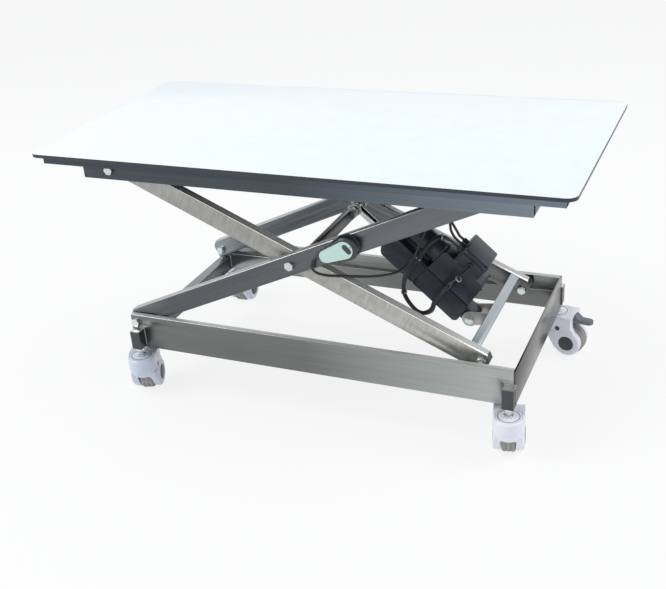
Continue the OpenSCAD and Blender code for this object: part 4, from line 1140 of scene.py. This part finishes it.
shell = drop_loft("hand_shell_piece", [
    (-216.3, 108, 16.0, 156, 27.2), (-217.3, 108, 17.2, 156, 28.6),
    (-224.0, 108, 17.4, 156, 29.0), (-224.5, 108, 16.6, 156, 28.2),
    (-226.0, 108, 16.6, 156, 28.2), (-226.5, 108, 17.4, 156, 29.0),
    (-231.0, 108, 17.4, 156, 28.6), (-234.6, 108, 17.2, 156, 27.0),
    (-237.2, 108, 16.9, 155.8, 24.6), (-238.9, 108, 16.2, 155.6, 22.4),
    (-239.5, 108, 15.4, 155.4, 21.0)], finish["hand_black"])
mint = drop_loft("hand_face_piece", [
    (-239.3, 108, 14.2, 155.4, 19.5), (-240.1, 108, 14.2, 155.4, 19.5),
    (HAND_FACE_Y, 108, 13.8, 155.4, 19.1)], finish["mint_face"])
cut_out(shell, [opening, pin_seat], finish["hand_black"])
cut_out(mint, [opening], finish["mint_face"])
for cutter in (opening, pin_seat):
    bpy.data.objects.remove(cutter)
for piece, node_name in ((shell, "hand_shell"), (mint, "hand_face")):
    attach(piece, "outer_arms")
    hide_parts(node_name)
print("hand control faces:", len(shell.data.polygons), len(mint.data.polygons))

# %% Lip of the face, lamp and boot of the cord
LIP_OUTLINE, LIP_DEPTH, LIP_ROUND = (108, 13.0, 155.4, 18.3), 0.0008, 2
LAMP_S, LAMP_T, LAMP_STEPS, BOOT_STEPS = 171.6, 1.5, 32, 40
lip = poly_curve("hand_lip_line", [[hand_point(s, t, HAND_FACE_Y)
                                    for s, t in drop_outline(*LIP_OUTLINE)]], cyclic=True)
lip.bevel_depth = LIP_DEPTH
lip.bevel_resolution = LIP_ROUND
# The lip is a real raised rim; its paler mint is a painted highlight.
lip.materials.append(finish["mint_rim"])
lip_curve = linked("hand_lip_line", lip)
lip_piece = linked("hand_lip", evaluated_mesh(lip_curve))
bpy.data.objects.remove(lip_curve)
lamp_dot = lathe("hand_lamp", [(-0.6, 0), (-0.6, 1.4), (0.3, 1.4), (0.7, 0.9), (0.8, 0)],
                 hand_point(LAMP_S, LAMP_T, HAND_FACE_Y), (0, -1, 0), finish["rocker_dark"],
                 steps=LAMP_STEPS)
boot = lathe("hand_boot", [
    (-12, 0), (-12, 6.6), (-9, 6.6), (-8.4, 5.8), (-6.6, 5.8), (-6, 6.2), (-3.6, 6.0),
    (-3, 5.3), (-1.2, 5.2), (-0.6, 5.6), (1.8, 5.3), (2.4, 4.7), (4.2, 4.6), (4.8, 4.9),
    (7.2, 4.6), (7.8, 4.0), (12, 3.5), (12, 0)],
    HAND_EXIT, HAND_OUT, finish["hand_black"], steps=BOOT_STEPS)
for piece, slot in ((lip_piece, "mint"), (lamp_dot, "charcoal"), (boot, "black")):
    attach(piece, "outer_arms")
print("hand control dressed")

# %% [markdown]
# ## Seam round a castor's head
# The head of a castor turns in a cup, and a dark gap shows between the two.
# A thin near-black ring, turned about the swivel's axis, stands for that gap:
# its dark colour is painted shade.

# %% Dark gap rings on the castor heads
GAP_LOW, GAP_HIGH, GAP_IN, GAP_OUT, GAP_STEPS = -1.2, 0.25, 23.0, 24.3, 64
GAP_SECTION = [(GAP_LOW, GAP_IN), (GAP_HIGH, GAP_IN), (GAP_HIGH, GAP_OUT), (GAP_LOW, GAP_OUT),
               (GAP_LOW, GAP_IN)]
for corner in CORNERS:
    swivel_x, swivel_y = joint_of[corner + "_swivel"]["pos_m"][:2]
    top_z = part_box(corner + "_housing")[1][2]
    gap = lathe(corner + "_head_gap", GAP_SECTION, (swivel_x, swivel_y, top_z), (0, 0, 1),
                finish["groove_dark"], steps=GAP_STEPS)
    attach(gap, corner + "_fork")
print("head gaps:", len(CORNERS))
